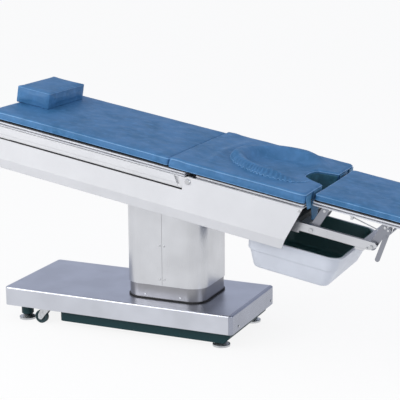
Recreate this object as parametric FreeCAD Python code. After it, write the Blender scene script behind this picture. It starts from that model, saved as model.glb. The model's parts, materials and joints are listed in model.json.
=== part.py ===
"""Operating table: column on a wheeled base, tilting tabletop with back, seat and leg sections.

Millimetres, +Z up, +X towards the foot end. The floor is z = 0 and the origin is under the middle of
the whole table's box. The tabletop parts are drawn in the tabletop's own frame (along, across, up),
whose origin is on top of the seam between the back and seat cushions, and are then tilted into place.
"""
import FreeCAD, Part
import math
import os

Vector = FreeCAD.Vector

# Clearances
CLEAR = 0.3            # between pieces that lie against each other
RUNNING = 0.05         # radial, shaft in bore
BOLT_CLEAR = 0.15      # radial, bolt in its own plate

# Overall placing
TILT = 9.9             # head-up angle of the tabletop at rest, degrees
BASE_LENGTH = 930.0
BASE_WIDTH = 412.0
COLUMN_FROM_BASE = BASE_LENGTH / 2 - 305.0     # column axis from the middle of the base
GIMBAL_HEIGHT = 594.0                          # tilting axis above the floor
SEAM_FROM_BASE = COLUMN_FROM_BASE + 98.0       # cushion seam from the middle of the base, along the floor
SEAM_HEIGHT = GIMBAL_HEIGHT + 99.0             # cushion seam above the floor

# Base
BASE_TOP = 132.0
COVER_SKIRT = 70.0     # height of the cover's turned-down sides
COVER_SHEET = 2.0
COVER_CORNER = 14.0
COVER_HEM = 6.0
END_CAP = 13.0         # length of the screwed cap at the foot end
CAP_SCREWS_ACROSS = (64.0 - BASE_WIDTH / 2, BASE_WIDTH / 2 - 27.0)
CAP_SCREW_DROP = 54.0
SCREW_RADIUS = 4.5
SCREW_HEAD = 2.0

PAN_BOTTOM = 21.0
PAN_HEAD_END = 225.0 - BASE_LENGTH / 2
PAN_INSET = 20.0
PAN_WALL = 8.0
PAN_CHAMFER = 20.0
LEDGE_HEIGHT = 66.0    # underside of the chassis outside the pan
LEDGE_THICK = 12.0
MAST_ROOM = 20.0       # round the mast tube where it passes through the ledge

FOOT_X = BASE_LENGTH / 2 - 64.0
FOOT_Y = BASE_WIDTH / 2 - 58.0
FOOT_DISC_RADIUS = 32.0
FOOT_DISC_HEIGHT = 7.0
FOOT_STEM_RADIUS = 9.0
FOOT_STEM_LENGTH = 50.0
FOOT_HOUSING_RADIUS = 23.0
FOOT_HOUSING_BOTTOM = 22.0

WHEEL_RADIUS = 25.0
WHEEL_WIDTH = 20.0
WHEEL_TRAIL = 22.0
WHEEL_HUB_RADIUS = 8.0
WHEEL_TREAD = 6.0      # height of the tyre beside the recessed disc
WHEEL_RECESS = 3.0
WHEEL_BEVEL = 2.5
AXLE_RADIUS = 4.0
FORK_SHEET = 3.0
FORK_TOP = 56.0
FORK_FOOT_HALF = 9.0   # half width of a fork arm at the axle
CROWN_HEAD = 20.0      # reach of the fork's crown from the swivel axis, towards the wheel
CROWN_FOOT = 16.0      # and away from it
CROWN_RADIUS = 14.0
STEM_RADIUS = 8.0
CASTOR_PLATE = 5.0
CASTOR_PLATE_SIZE = 52.0
# Swivel axes of the castors, along and across: head end, and foot end inside the wheel wells
CASTOR_HEAD = (165.0 - BASE_LENGTH / 2, BASE_WIDTH / 2 - 30.0)
CASTOR_FOOT = (BASE_LENGTH / 2 - 153.0, BASE_WIDTH / 2 - 82.0)
WELL_HALF = 53.0
WELL_WALL = 6.0

# Column
SHROUD_LENGTH = 308.0
SHROUD_WIDTH = 252.0
SHROUD_CORNER = 58.0
COLUMN_TOP = GIMBAL_HEIGHT - 57.0
SHROUD_TOP = COLUMN_TOP - 22.0
COLUMN_SHEET = 2.0
SLEEVE_GAP = 2.0       # between the shroud and the sleeve around it
SLEEVE_BOTTOM = 187.0
SLEEVE_SEAM = 0.8
SLEEVE_SCREW_LEVELS = (24.0, 150.0, 290.0)     # above the sleeve's lower edge
SLEEVE_SCREW_SPREAD = 9.0
SHROUD_SCREW_SPREAD = 70.0
TOP_PLATE = 4.0
GASKET_WIDTH = 4.0
GASKET_HEIGHT = 9.0
MAST_LENGTH = 150.0
MAST_WIDTH = 110.0
MAST_WALL = 6.0
MAST_TOP = COLUMN_TOP - 22.0
SLIDER_GAP = 2.0
SLIDER_BOTTOM = 170.0
STRIP_LENGTH = 60.0    # guide strips inside the moving mast tube
STRIP_HALF = 30.0
CYLINDER_RADIUS = 32.0
CYLINDER_TOP = COLUMN_TOP - 97.0
ROD_RADIUS = 20.0
ROD_BOTTOM = 60.0

# Tilting head
YOKE_PLATE = 10.0
YOKE_INNER = 60.0      # half of the opening between the two uprights
YOKE_THICK = 20.0
YOKE_HALF_WIDTH = 24.0
TRUNNION_RADIUS = 14.0
CRADLE_HALF_LENGTH = 57.0
CRADLE_HALF_WIDTH = 40.0
CRADLE_HALF_HEIGHT = 24.0
SHAFT_RADIUS = 16.0
MOTOR_RADIUS = 18.0
MOTOR_START = 20.0     # from the cross shaft's axis
MOTOR_LENGTH = 80.0

# Tabletop, along (u), across (v) and up (w) from the cushion seam
CUSHION_HALF = 260.0
CUSHION_THICK = 31.0
LEG_CUSHION_THICK = 25.0
BOARD_THICK = 4.0      # stiff black backing board of a cushion
BOARD_INSET = 3.0
DECK_THICK = 4.0
DECK_GAP = 5.4         # slot between the two plates of a deck
DECK_HALF = CUSHION_HALF + 2.0
SPACER_WIDTH = 14.0
SPACER_INSET = 12.0
PIVOT_ALONG = 85.0     # back section hinge
PIVOT_DROP = 60.0
HEAD_END = -731.0
BACK_DECK_END = PIVOT_ALONG - 20.0
SEAT_DECK_START = PIVOT_ALONG + 20.0
SEAT_END = 500.0
LEG_START = SEAT_END + 14.0
LEG_LENGTH = 590.0
LEG_END = LEG_START + LEG_LENGTH
LEG_HALF = CUSHION_HALF - 48.0
LEG_DECK_HALF = LEG_HALF - 4.0
CUSHION_CORNER = 12.0
CUSHION_EDGE = 5.0     # rounding of a cushion's upper edges
BACK_RAISE = 50.0      # how far the back section lifts, degrees

CUTOUT_INNER = SEAT_END - 76.0
CUTOUT_INNER_HALF = 62.0
CUTOUT_MOUTH_HALF = 92.0
RING_CENTRE = SEAT_END - 222.0
RING_HALF_LENGTH = 160.0
RING_HALF_WIDTH = CUSHION_HALF - 64.0
RING_BAND = 52.0
RING_RISE = 12.0

PILLOW_LENGTH = 136.0
PILLOW_WIDTH = 266.0
PILLOW_HEIGHT = 61.0
PILLOW_ACROSS = 50.0
PILLOW_CORNER = 9.0

RAIL_OUTER = DECK_HALF + 8.0       # side rails of the back section
RAIL_INNER = RAIL_OUTER - 30.0
RAIL_TOP = -50.0
RAIL_BOTTOM = -89.0
RAIL_STEP_DROP = 25.0  # depth of the accessory rail, the proud upper band
RAIL_STEP = 2.0
RAIL_WALL = 3.0
RAIL_END = PIVOT_ALONG - 57.0
RAIL_END_LOW = PIVOT_ALONG - 34.0
POCKET_DEPTH = 6.0

SKIRT_OUTER = RAIL_OUTER + 5.0
SKIRT_SHEET = 2.5
SKIRT_TOP = -43.0
SKIRT_BACK_TOP = -93.0
SKIRT_FOLD = -166.0
SKIRT_BOTTOM = -207.0
SKIRT_TUCK = 24.0      # how far the lower edge comes in from the outer face
SKIRT_FLANGE = 11.0
SKIRT_START = HEAD_END + 11.0
SKIRT_START_LOW = HEAD_END + 66.0
SKIRT_END = SEAT_END + 4.0
SKIRT_END_LOW = SEAT_END - 51.0
EAR_START = PIVOT_ALONG - 17.0
EAR_CORNER = 14.0

PIVOT_RADIUS = 9.0
PIVOT_CAP = 4.0        # height of the bolt heads over the hinge shaft
ARM_INNER = SKIRT_OUTER - 19.0
ARM_THICK = 12.0
ARM_EYE = 16.0         # radius of the arm round the hinge shaft

BEAM_WIDTH = 30.0
BEAM_INNER = SKIRT_OUTER - BEAM_WIDTH - 23.0
BEAM_TOP = -96.0
BEAM_HEIGHT = 54.0
BEAM_WALL = 3.0
BEAM_START = HEAD_END + 91.0
BEAM_END = SEAT_END - 60.0
BEARING_HALF = 45.0
BEARING_THICK = 13.0
CROSS_WIDTH = 40.0
CROSS_HEIGHT = 30.0
CROSS_PLACES = (BEAM_START + 40.0, BEAM_START + 290.0, BEAM_END - 290.0)
LOW_CROSS_PLACE = BEAM_END - 30.0
LOW_CROSS_HEIGHT = 22.0
BRACKET_PLACES = (BEAM_START + 20.0, BEAM_START + 290.0, -80.0, BEAM_END - 250.0, BEAM_END - 60.0)
BRACKET_SIZE = 30.0
BRACKET_DROP = 8.0     # below the side panel's upper edge at the back
SEAT_RAIL_WIDTH = 30.0
SEAT_RAIL_WALL = 4.0
SEAT_RAIL_SETBACK = 6.0    # from the side panel's slanted end
PAD_LENGTH = 40.0
PAD_PLACES = (BEAM_START + 40.0, BEAM_START + 340.0, -20.0)
HINGE_BRACKET_INNER = SKIRT_OUTER - 39.0
HINGE_BRACKET_THICK = 12.0
HINGE_BRACKET_CROWN = 14.0     # above the hinge shaft's axis

# Leg section carriage
BAR_OUTER = BEAM_INNER - 14.0
BAR_DEPTH = 13.0
BAR_WEB = 3.0
BAR_TOP = -112.0
BAR_HEIGHT = 29.0
GUIDE_END = BEAM_END - 4.0
GUIDE_START = GUIDE_END - 251.0
BAR_START = GUIDE_START - 5.0
BAR_LENGTH = 577.0
BAR_END = BAR_START + BAR_LENGTH
BAR_END_LOW = BAR_END - 23.0
GUIDE_GRIP = 8.0       # depth of the bar that lies in the guide's groove
GUIDE_WALL = 8.0
GUIDE_SLACK = 0.4
BAR_CROSS_PLACES = (BAR_START + 290.0, BAR_END - 57.0)
BAR_CROSS_WIDTH = 30.0
BAR_CROSS_THICK = 8.0
LINK_LOW = (LEG_START + 12.0, BAR_TOP - 18.0)      # lower pin of the head-side link: along, up
LINK_PITCH = 213.0     # from the head-side link to the foot-side link
LINK_REACH = 29.5      # how far the top pin lies beyond the lower pin
LINK_RISE = 73.0
LINK_HALF = 14.0
LINK_THICK = 4.0
LINK_OUTER = BAR_OUTER - 15.0
LINK_PIN = 5.0
EAR_THICK = 4.0
KNOB_RADIUS = 7.0
STAY_RADIUS = 2.0
STAY_EYE = (LEG_START + 137.0, -53.0)
STAY_PIN_SHARE = 0.74  # place of the rod's pin along the foot-side link, from its lower pin
LEVER_PIVOT = (LEG_START + 274.0, -54.0)
LEVER_TIP = (LEG_START + 257.0, -160.0)
LEVER_OUTER = LEG_HALF + 10.0
LEVER_THICK = 4.0
LEVER_HALF = 8.0
CROSS_ROD_RADIUS = 4.0
CROSS_ROD_DROP = 22.0

# Basin
BASIN_START = SEAT_END - 210.0
BASIN_LENGTH = 360.0
BASIN_END = BASIN_START + BASIN_LENGTH
BASIN_HALF = BEAM_INNER + 4.0
BASIN_TOP = SKIRT_BOTTOM + 6.0
BASIN_FLANGE = 12.0
BASIN_RIM_THICK = 3.0
BASIN_WALL = 3.0
BASIN_STEP_DROP = 54.0
BASIN_DEPTH = 121.0
BASIN_CORNER = 46.0
BASIN_UPPER_TAPER = 5.0
BASIN_STEP = 6.0
BASIN_LOWER_TAPER = 22.0
BASIN_LAP = 0.5        # how far the lower body is drawn into the upper band
RUNNER_START = BASIN_START - 140.0
RUNNER_OUTER = BEAM_INNER + 10.0
RUNNER_WEB = 2.5
RUNNER_SETBACK = 8.0   # from the side panel's slanted end

# Blue flaps in front of the seat: across from, across to, bottom
FLAPS = ((205.0, 252.0, -50.0), (138.0, 195.0, -108.0), (66.0, 128.0, -104.0))
FLAP_THICK = 2.5
FLAP_TOP = -4.0


def block(x0, x1, y0, y1, z0, z1):
    """Box between two corners."""
    return Part.makeBox(x1 - x0, y1 - y0, z1 - z0, Vector(x0, y0, z0))


def rod(radius, start, end):
    """Cylinder from one point to another."""
    a = Vector(*start)
    b = Vector(*end)
    return Part.makeCylinder(radius, (b - a).Length, a, b - a)


def side_plate(points, y0, y1):
    """Outline of (along, up) points, extruded across from y0 to y1."""
    corners = [Vector(x, y0, z) for x, z in points]
    face = Part.Face(Part.makePolygon(corners + corners[:1]))
    return face.extrude(Vector(0, y1 - y0, 0))


def flat_plate(points, z0, z1):
    """Outline of (along, across) points, extruded up from z0 to z1."""
    corners = [Vector(x, y, z0) for x, y in points]
    face = Part.Face(Part.makePolygon(corners + corners[:1]))
    return face.extrude(Vector(0, 0, z1 - z0))


def end_profile(points, x0, x1):
    """Outline of (across, up) points, extruded along from x0 to x1."""
    corners = [Vector(x0, y, z) for y, z in points]
    face = Part.Face(Part.makePolygon(corners + corners[:1]))
    return face.extrude(Vector(x1 - x0, 0, 0))


def upright_edges(shape):
    """Edges of a shape that run straight up."""
    found = []
    for edge in shape.Edges:
        direction = edge.Vertexes[-1].Point - edge.Vertexes[0].Point
        if direction.Length > 0 and abs(direction.z) > 0.999 * direction.Length:
            found.append(edge)
    return found


def rounded_block(x0, x1, y0, y1, z0, z1, corner):
    """Box with its four upright edges rounded."""
    shape = block(x0, x1, y0, y1, z0, z1)
    return shape.makeFillet(corner, upright_edges(shape))


def column_block(length, width, corner, z0, z1):
    """Rounded upright block about the column axis."""
    x = COLUMN_FROM_BASE
    return rounded_block(x - length / 2, x + length / 2, -width / 2, width / 2, z0, z1, corner)


def mirrored(shape):
    """Copy on the other side of the table's middle plane."""
    return shape.mirror(Vector(0, 0, 0), Vector(0, 1, 0))


def pair(shape):
    """A piece and its copy on the other side."""
    return Part.Compound([shape, mirrored(shape)])


def capsule(a, b, half, y0, y1):
    """Flat link with round ends between two (along, up) points, across from y0 to y1."""
    first = Vector(a[0], y0, a[1])
    last = Vector(b[0], y0, b[1])
    along = last - first
    along.normalize()
    side = Vector(-along.z, 0, along.x) * half
    tip = along * half
    edges = [
        Part.LineSegment(first + side, last + side).toShape(),
        Part.Arc(last + side, last + tip, last - side).toShape(),
        Part.LineSegment(last - side, first - side).toShape(),
        Part.Arc(first - side, first - tip, first + side).toShape(),
    ]
    return Part.Face(Part.Wire(edges)).extrude(Vector(0, y1 - y0, 0))


def cover_half_width():
    return BASE_WIDTH / 2


def make_base_cover():
    """Stainless cover, open below and at the cap's end, with a hole round the shroud."""
    x0 = -BASE_LENGTH / 2
    x1 = BASE_LENGTH / 2
    y = cover_half_width()
    z0 = BASE_TOP - COVER_SKIRT
    outer = rounded_block(x0, x1, -y, y, z0, BASE_TOP, COVER_CORNER)
    top_edges = [e for e in outer.Edges if min(v.Z for v in e.Vertexes) > BASE_TOP - 0.01]
    outer = outer.makeFillet(COVER_HEM, top_edges)
    t = COVER_SHEET
    inner = rounded_block(x0 + t, x1 - t, -y + t, y - t, z0 - 1, BASE_TOP - t, COVER_CORNER - t)
    shell = outer.cut(inner)
    cap_start = x1 - END_CAP
    cover = shell.common(block(x0 - 1, cap_start - CLEAR, -y - 1, y + 1, z0 - 1, BASE_TOP + 1))
    cap = shell.common(block(cap_start, x1 + 1, -y - 1, y + 1, z0 - 1, BASE_TOP + 1))
    hole = column_block(SHROUD_LENGTH + 2, SHROUD_WIDTH + 2, SHROUD_CORNER + 1, z0, BASE_TOP + 1)
    return cover.cut(hole), cap


def make_cap_screws():
    x = BASE_LENGTH / 2 + CLEAR / 2
    z = BASE_TOP - CAP_SCREW_DROP
    return Part.Compound([rod(SCREW_RADIUS, (x, y, z), (x + SCREW_HEAD, y, z)) for y in CAP_SCREWS_ACROSS])


def make_chassis():
    """Dark tray under the cover, with an opening for the mast tube."""
    x0 = -BASE_LENGTH / 2 + COVER_SHEET + CLEAR
    x1 = BASE_LENGTH / 2 - COVER_SHEET - CLEAR
    y = cover_half_width() - COVER_SHEET - CLEAR
    top = BASE_TOP - COVER_SHEET - CLEAR
    floor_top = LEDGE_HEIGHT + LEDGE_THICK
    w = PAN_WALL
    tray = rounded_block(x0, x1, -y, y, LEDGE_HEIGHT, top, COVER_CORNER - COVER_SHEET)
    tray = tray.cut(block(x0 + w, x1 - w, -y + w, y - w, floor_top, top + 1))
    opening_x = MAST_LENGTH / 2 + MAST_ROOM
    opening_y = MAST_WIDTH / 2 + MAST_ROOM
    return tray.cut(block(COLUMN_FROM_BASE - opening_x, COLUMN_FROM_BASE + opening_x, -opening_y, opening_y,
                          LEDGE_HEIGHT - 1, floor_top + 1))


def open_box(outline, x0, x1, hollow_x0, hollow_x1):
    """Length of the pan from x0 to x1, open on top and hollow from hollow_x0 to hollow_x1."""
    pan_y = cover_half_width() - PAN_INSET
    top = LEDGE_HEIGHT
    inner_y = pan_y - PAN_WALL
    length = outline.common(block(x0, x1, -pan_y, pan_y, PAN_BOTTOM, top))
    return length.cut(block(hollow_x0, hollow_x1, -inner_y, inner_y, PAN_BOTTOM + PAN_WALL, top))


def make_pan():
    """Deeper pan under the tray: a tub at the column, the foot-end wheel wells and an end box."""
    pan_x = BASE_LENGTH / 2 - PAN_INSET
    pan_y = cover_half_width() - PAN_INSET
    top = LEDGE_HEIGHT - CLEAR
    outline = rounded_block(PAN_HEAD_END, pan_x, -pan_y, pan_y, PAN_BOTTOM, top, COVER_CORNER)
    wedge = [(pan_x - PAN_CHAMFER, PAN_BOTTOM - 1), (pan_x + 1, PAN_BOTTOM - 1),
             (pan_x + 1, PAN_BOTTOM + PAN_CHAMFER)]
    outline = outline.cut(side_plate(wedge, -pan_y - 1, pan_y + 1))
    well_x, well_y = CASTOR_FOOT
    well_start = well_x - WELL_HALF - WELL_WALL
    well_end = well_x + WELL_HALF + WELL_WALL
    tub = open_box(outline, PAN_HEAD_END, well_start, PAN_HEAD_END + PAN_WALL, well_start - PAN_WALL)
    end_box = open_box(outline, well_end, pan_x, well_end + PAN_WALL, pan_x - PAN_WALL - PAN_CHAMFER)
    for side in (-1, 1):
        end_box = end_box.cut(rod(FOOT_HOUSING_RADIUS + CLEAR, (FOOT_X, side * FOOT_Y, PAN_BOTTOM - 1),
                                  (FOOT_X, side * FOOT_Y, top + 1)))
    x0 = well_start + CLEAR
    x1 = well_end - CLEAR
    outer_wall = block(x0, x1, well_y + WELL_HALF, pan_y, PAN_BOTTOM, top)
    inner_y = well_y - WELL_HALF
    inner_wall = block(x0, x1, inner_y - WELL_WALL, inner_y, PAN_BOTTOM, top)
    strip_y = inner_y - WELL_WALL - CLEAR
    strip = block(x0, x1, -strip_y, strip_y, PAN_BOTTOM, PAN_BOTTOM + PAN_WALL)
    return Part.Compound([tub, end_box, pair(outer_wall), pair(inner_wall), strip])


def foot_places():
    return [(x, y) for x in (-FOOT_X, FOOT_X) for y in (-FOOT_Y, FOOT_Y)]


def make_foot_housings():
    """Bored cylinders that guide the floor-lock feet."""
    shapes = []
    for x, y in foot_places():
        body = rod(FOOT_HOUSING_RADIUS, (x, y, FOOT_HOUSING_BOTTOM), (x, y, LEDGE_HEIGHT - CLEAR))
        bore = rod(FOOT_STEM_RADIUS + RUNNING, (x, y, FOOT_HOUSING_BOTTOM - 1), (x, y, FOOT_STEM_LENGTH + 4))
        shapes.append(body.cut(bore))
    return Part.Compound(shapes)


def make_feet():
    """Floor-lock feet: a disc with a coned neck and a stem."""
    shapes = []
    for x, y in foot_places():
        r = FOOT_DISC_RADIUS
        h = FOOT_DISC_HEIGHT
        disc = rod(r, (x, y, 0), (x, y, h))
        neck = Part.makeCone(r - 4, FOOT_STEM_RADIUS + 3, 2 * h, Vector(x, y, h))
        stem = rod(FOOT_STEM_RADIUS, (x, y, 2 * h), (x, y, FOOT_STEM_LENGTH))
        shapes.append(disc.fuse(neck).fuse(stem).removeSplitter())
    return Part.Compound(shapes)


def castor_places():
    """Swivel axes of the four castors, head near, head far, foot near, foot far."""
    hx, hy = CASTOR_HEAD
    fx, fy = CASTOR_FOOT
    return [(hx, -hy), (hx, hy), (fx, -fy), (fx, fy)]


def make_castor_plates():
    """Fixed plates with the swivel sockets."""
    shapes = []
    half = CASTOR_PLATE_SIZE / 2
    top = LEDGE_HEIGHT - CLEAR
    for x, y in castor_places():
        plate = block(x - half, x + half, y - half, y + half, top - CASTOR_PLATE, top)
        bore = rod(STEM_RADIUS + RUNNING, (x, y, top - CASTOR_PLATE - 1), (x, y, top + 1))
        shapes.append(plate.cut(bore))
    return Part.Compound(shapes)


def make_fork(x, y):
    """Castor fork with its swivel stem and axle."""
    inner = WHEEL_WIDTH / 2 + 1
    outer = inner + FORK_SHEET
    wheel_x = x - WHEEL_TRAIL
    plate_bottom = LEDGE_HEIGHT - CLEAR - CASTOR_PLATE
    h = FORK_FOOT_HALF
    r = WHEEL_RADIUS
    crown = block(x - CROWN_HEAD, x + CROWN_FOOT, y - outer, y + outer, FORK_TOP - FORK_SHEET, FORK_TOP)
    crown = crown.fuse(rod(CROWN_RADIUS, (x, y, FORK_TOP), (x, y, plate_bottom - CLEAR)))
    crown = crown.fuse(rod(STEM_RADIUS, (x, y, plate_bottom - CLEAR), (x, y, LEDGE_HEIGHT - 2 * CLEAR)))
    outline = [(x - CROWN_HEAD, FORK_TOP), (x + CROWN_FOOT, FORK_TOP), (wheel_x + h, r - h / 2),
               (wheel_x + h / 2, r - h), (wheel_x - h / 2, r - h), (wheel_x - h, r - h / 2),
               (wheel_x - h, r + h)]
    for y0, y1 in ((-outer, -inner), (inner, outer)):
        crown = crown.fuse(side_plate(outline, y + y0, y + y1))
    axle = rod(AXLE_RADIUS, (wheel_x, y - outer - 2, WHEEL_RADIUS), (wheel_x, y + outer + 2, WHEEL_RADIUS))
    return crown.fuse(axle).removeSplitter()


def make_wheel(x, y):
    """Tyred wheel with a bored hub."""
    wheel_x = x - WHEEL_TRAIL
    half = WHEEL_WIDTH / 2
    r = WHEEL_RADIUS
    tyre = rod(r, (wheel_x, y - half, r), (wheel_x, y + half, r))
    rims = [e for e in tyre.Edges if len(e.Vertexes) == 1]
    tyre = tyre.makeChamfer(WHEEL_BEVEL, rims)
    for side in (-1, 1):
        face = y + side * half
        outside = (wheel_x, face + side, r)
        recess = rod(r - WHEEL_TREAD, (wheel_x, face - side * WHEEL_RECESS, r), outside)
        hub = rod(WHEEL_HUB_RADIUS, (wheel_x, face - side * (WHEEL_RECESS + 1), r), outside)
        tyre = tyre.cut(recess.cut(hub))
    bore = rod(AXLE_RADIUS + RUNNING, (wheel_x, y - half - 1, r), (wheel_x, y + half + 1, r))
    return tyre.cut(bore)


def tube_about_column(length, width, corner, wall, z0, z1):
    outer = column_block(length, width, corner, z0, z1)
    inner = column_block(length - 2 * wall, width - 2 * wall, max(corner - wall, 1), z0 - 1, z1 + 1)
    return outer.cut(inner)


def sleeve_size():
    grow = 2 * (SLEEVE_GAP + COLUMN_SHEET)
    return SHROUD_LENGTH + grow, SHROUD_WIDTH + grow, SHROUD_CORNER + SLEEVE_GAP + COLUMN_SHEET


def make_shroud():
    """Fixed lower shroud of the column."""
    bottom = BASE_TOP - COVER_SHEET - 12
    return tube_about_column(SHROUD_LENGTH, SHROUD_WIDTH, SHROUD_CORNER, COLUMN_SHEET, bottom, SHROUD_TOP)


def make_gasket():
    """Black rubber ring where the shroud meets the base cover."""
    g = GASKET_WIDTH + CLEAR
    return tube_about_column(SHROUD_LENGTH + 2 * g, SHROUD_WIDTH + 2 * g, SHROUD_CORNER + g, GASKET_WIDTH,
                             BASE_TOP + CLEAR / 2, BASE_TOP + GASKET_HEIGHT)


def make_sleeve_halves():
    """Moving sleeve in two bent halves that meet at upright seams in the middle of each side."""
    length, width, corner = sleeve_size()
    top = COLUMN_TOP - TOP_PLATE - CLEAR
    sleeve = tube_about_column(length, width, corner, COLUMN_SHEET, SLEEVE_BOTTOM, top)
    x = COLUMN_FROM_BASE
    gap = SLEEVE_SEAM / 2
    big = length
    head = sleeve.common(block(x - big, x - gap, -width, width, 0, COLUMN_TOP))
    foot = sleeve.common(block(x + gap, x + big, -width, width, 0, COLUMN_TOP))
    return head, foot


def make_column_screws():
    """Screws along the sleeve's seams."""
    width = sleeve_size()[1]
    y = width / 2 + CLEAR / 2
    shapes = []
    for level in SLEEVE_SCREW_LEVELS:
        z = SLEEVE_BOTTOM + level
        for side in (-1, 1):
            x = COLUMN_FROM_BASE + side * SLEEVE_SCREW_SPREAD
            shapes.append(rod(SCREW_RADIUS - 1, (x, y, z), (x, y + SCREW_HEAD, z)))
    return pair(Part.Compound(shapes))


def make_shroud_screws():
    """Screws just above the gasket."""
    y = SHROUD_WIDTH / 2 + CLEAR / 2
    z = BASE_TOP + GASKET_HEIGHT + 8
    shapes = []
    for side in (-1, 1):
        x = COLUMN_FROM_BASE + side * SHROUD_SCREW_SPREAD
        shapes.append(rod(SCREW_RADIUS - 1, (x, y, z), (x, y + SCREW_HEAD - 0.6, z)))
    return pair(Part.Compound(shapes))


def make_top_plate():
    length, width, corner = sleeve_size()
    return column_block(length, width, corner, COLUMN_TOP - TOP_PLATE, COLUMN_TOP)


def make_mast():
    """Fixed mast tube that stands in the pan."""
    bottom = PAN_BOTTOM + PAN_WALL + CLEAR
    return tube_about_column(MAST_LENGTH, MAST_WIDTH, MAST_WALL, MAST_WALL, bottom, MAST_TOP)


def make_slider():
    """Moving mast tube that hangs from the top plate round the fixed one, with its guide strips."""
    grow = 2 * (SLIDER_GAP + MAST_WALL)
    top = COLUMN_TOP - TOP_PLATE - CLEAR
    tube = tube_about_column(MAST_LENGTH + grow, MAST_WIDTH + grow, MAST_WALL, MAST_WALL, SLIDER_BOTTOM, top)
    strip = SLIDER_GAP - CLEAR
    x = COLUMN_FROM_BASE
    inner_x = MAST_LENGTH / 2 + SLIDER_GAP
    inner_y = MAST_WIDTH / 2 + SLIDER_GAP
    z0 = SLIDER_BOTTOM
    z1 = SLIDER_BOTTOM + STRIP_LENGTH
    for side in (-1, 1):
        a, b = sorted((x + side * inner_x, x + side * (inner_x - strip)))
        tube = tube.fuse(block(a, b, -STRIP_HALF, STRIP_HALF, z0, z1))
        a, b = sorted((side * inner_y, side * (inner_y - strip)))
        tube = tube.fuse(block(x - STRIP_HALF, x + STRIP_HALF, a, b, z0, z1))
    return tube


def make_lift_cylinder():
    x = COLUMN_FROM_BASE
    bottom = PAN_BOTTOM + PAN_WALL + CLEAR
    barrel = rod(CYLINDER_RADIUS, (x, 0, bottom), (x, 0, CYLINDER_TOP))
    return barrel.cut(rod(ROD_RADIUS + RUNNING, (x, 0, bottom + 14), (x, 0, CYLINDER_TOP + 1)))


def make_lift_rod():
    x = COLUMN_FROM_BASE
    return rod(ROD_RADIUS, (x, 0, ROD_BOTTOM), (x, 0, COLUMN_TOP - TOP_PLATE - CLEAR))


def make_yoke():
    """Foot plate on the column with two bored uprights for the trunnions."""
    x = COLUMN_FROM_BASE
    outer = YOKE_INNER + YOKE_THICK
    y = YOKE_HALF_WIDTH
    bottom = COLUMN_TOP + CLEAR / 2
    shape = block(x - outer - 16, x + outer + 16, -y - 16, y + 16, bottom, bottom + YOKE_PLATE)
    for side in (-1, 1):
        a, b = sorted((x + side * YOKE_INNER, x + side * outer))
        shape = shape.fuse(block(a, b, -y, y, bottom, GIMBAL_HEIGHT))
        shape = shape.fuse(rod(y, (a, 0, GIMBAL_HEIGHT), (b, 0, GIMBAL_HEIGHT)))
    reach = outer + 1
    bore = rod(TRUNNION_RADIUS + RUNNING, (x - reach, 0, GIMBAL_HEIGHT), (x + reach, 0, GIMBAL_HEIGHT))
    return shape.cut(bore).removeSplitter()


def make_cradle():
    """Block between the uprights with a trunnion at each end and a bore for the cross shaft."""
    x = COLUMN_FROM_BASE
    z = GIMBAL_HEIGHT
    block_part = block(x - CRADLE_HALF_LENGTH, x + CRADLE_HALF_LENGTH, -CRADLE_HALF_WIDTH, CRADLE_HALF_WIDTH,
                       z - CRADLE_HALF_HEIGHT, z + CRADLE_HALF_HEIGHT)
    along = [e for e in block_part.Edges if abs((e.Vertexes[1].Point - e.Vertexes[0].Point).x) > 1]
    block_part = block_part.makeChamfer(6, along)
    reach = YOKE_INNER + YOKE_THICK + 4
    block_part = block_part.fuse(rod(TRUNNION_RADIUS, (x - reach, 0, z), (x + reach, 0, z)))
    side = CRADLE_HALF_WIDTH + 1
    return block_part.cut(rod(SHAFT_RADIUS + BOLT_CLEAR, (x, -side, z), (x, side, z)))


def make_cross_shaft():
    x = COLUMN_FROM_BASE
    z = GIMBAL_HEIGHT
    end = BEAM_INNER - CLEAR
    shaft = rod(SHAFT_RADIUS, (x, -end, z), (x, end, z))
    for side in (-1, 1):
        inner = side * (BEAM_INNER - BEARING_THICK - CLEAR - 1)
        shaft = shaft.fuse(rod(SHAFT_RADIUS + 6, (x, inner, z), (x, inner - side * 10, z)))
    return shaft


def make_tilt_motors():
    """Motor can on each side of the cradle block, one each way from the cross shaft."""
    x = COLUMN_FROM_BASE
    y = CRADLE_HALF_WIDTH + MOTOR_RADIUS + CLEAR
    shapes = []
    for side in (-1, 1):
        start = (x + side * MOTOR_START, side * y, GIMBAL_HEIGHT)
        end = (x + side * (MOTOR_START + MOTOR_LENGTH), side * y, GIMBAL_HEIGHT)
        shapes.append(rod(MOTOR_RADIUS, start, end))
    return Part.Compound(shapes)


def gimbal_on_top():
    """Tilting axis in the tabletop's frame: along and up from the cushion seam."""
    dx = COLUMN_FROM_BASE - SEAM_FROM_BASE
    dz = GIMBAL_HEIGHT - SEAM_HEIGHT
    a = math.radians(TILT)
    return dx * math.cos(a) - dz * math.sin(a), dx * math.sin(a) + dz * math.cos(a)


def deck_levels(cushion_thick):
    """Tops and bottoms of the backing board, upper plate and lower plate under a cushion."""
    board_top = -cushion_thick - CLEAR
    upper_top = board_top - BOARD_THICK - CLEAR
    lower_top = upper_top - DECK_THICK - DECK_GAP
    return board_top, upper_top, lower_top


def make_beam():
    """Long box beam of the near side, mirrored for the far side."""
    v0 = BEAM_INNER
    v1 = BEAM_INNER + BEAM_WIDTH
    w0 = BEAM_TOP - BEAM_HEIGHT
    t = BEAM_WALL
    outer = block(BEAM_START, BEAM_END, v0, v1, w0, BEAM_TOP)
    return outer.cut(block(BEAM_START - 1, BEAM_END + 1, v0 + t, v1 - t, w0 + t, BEAM_TOP - t))


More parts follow.
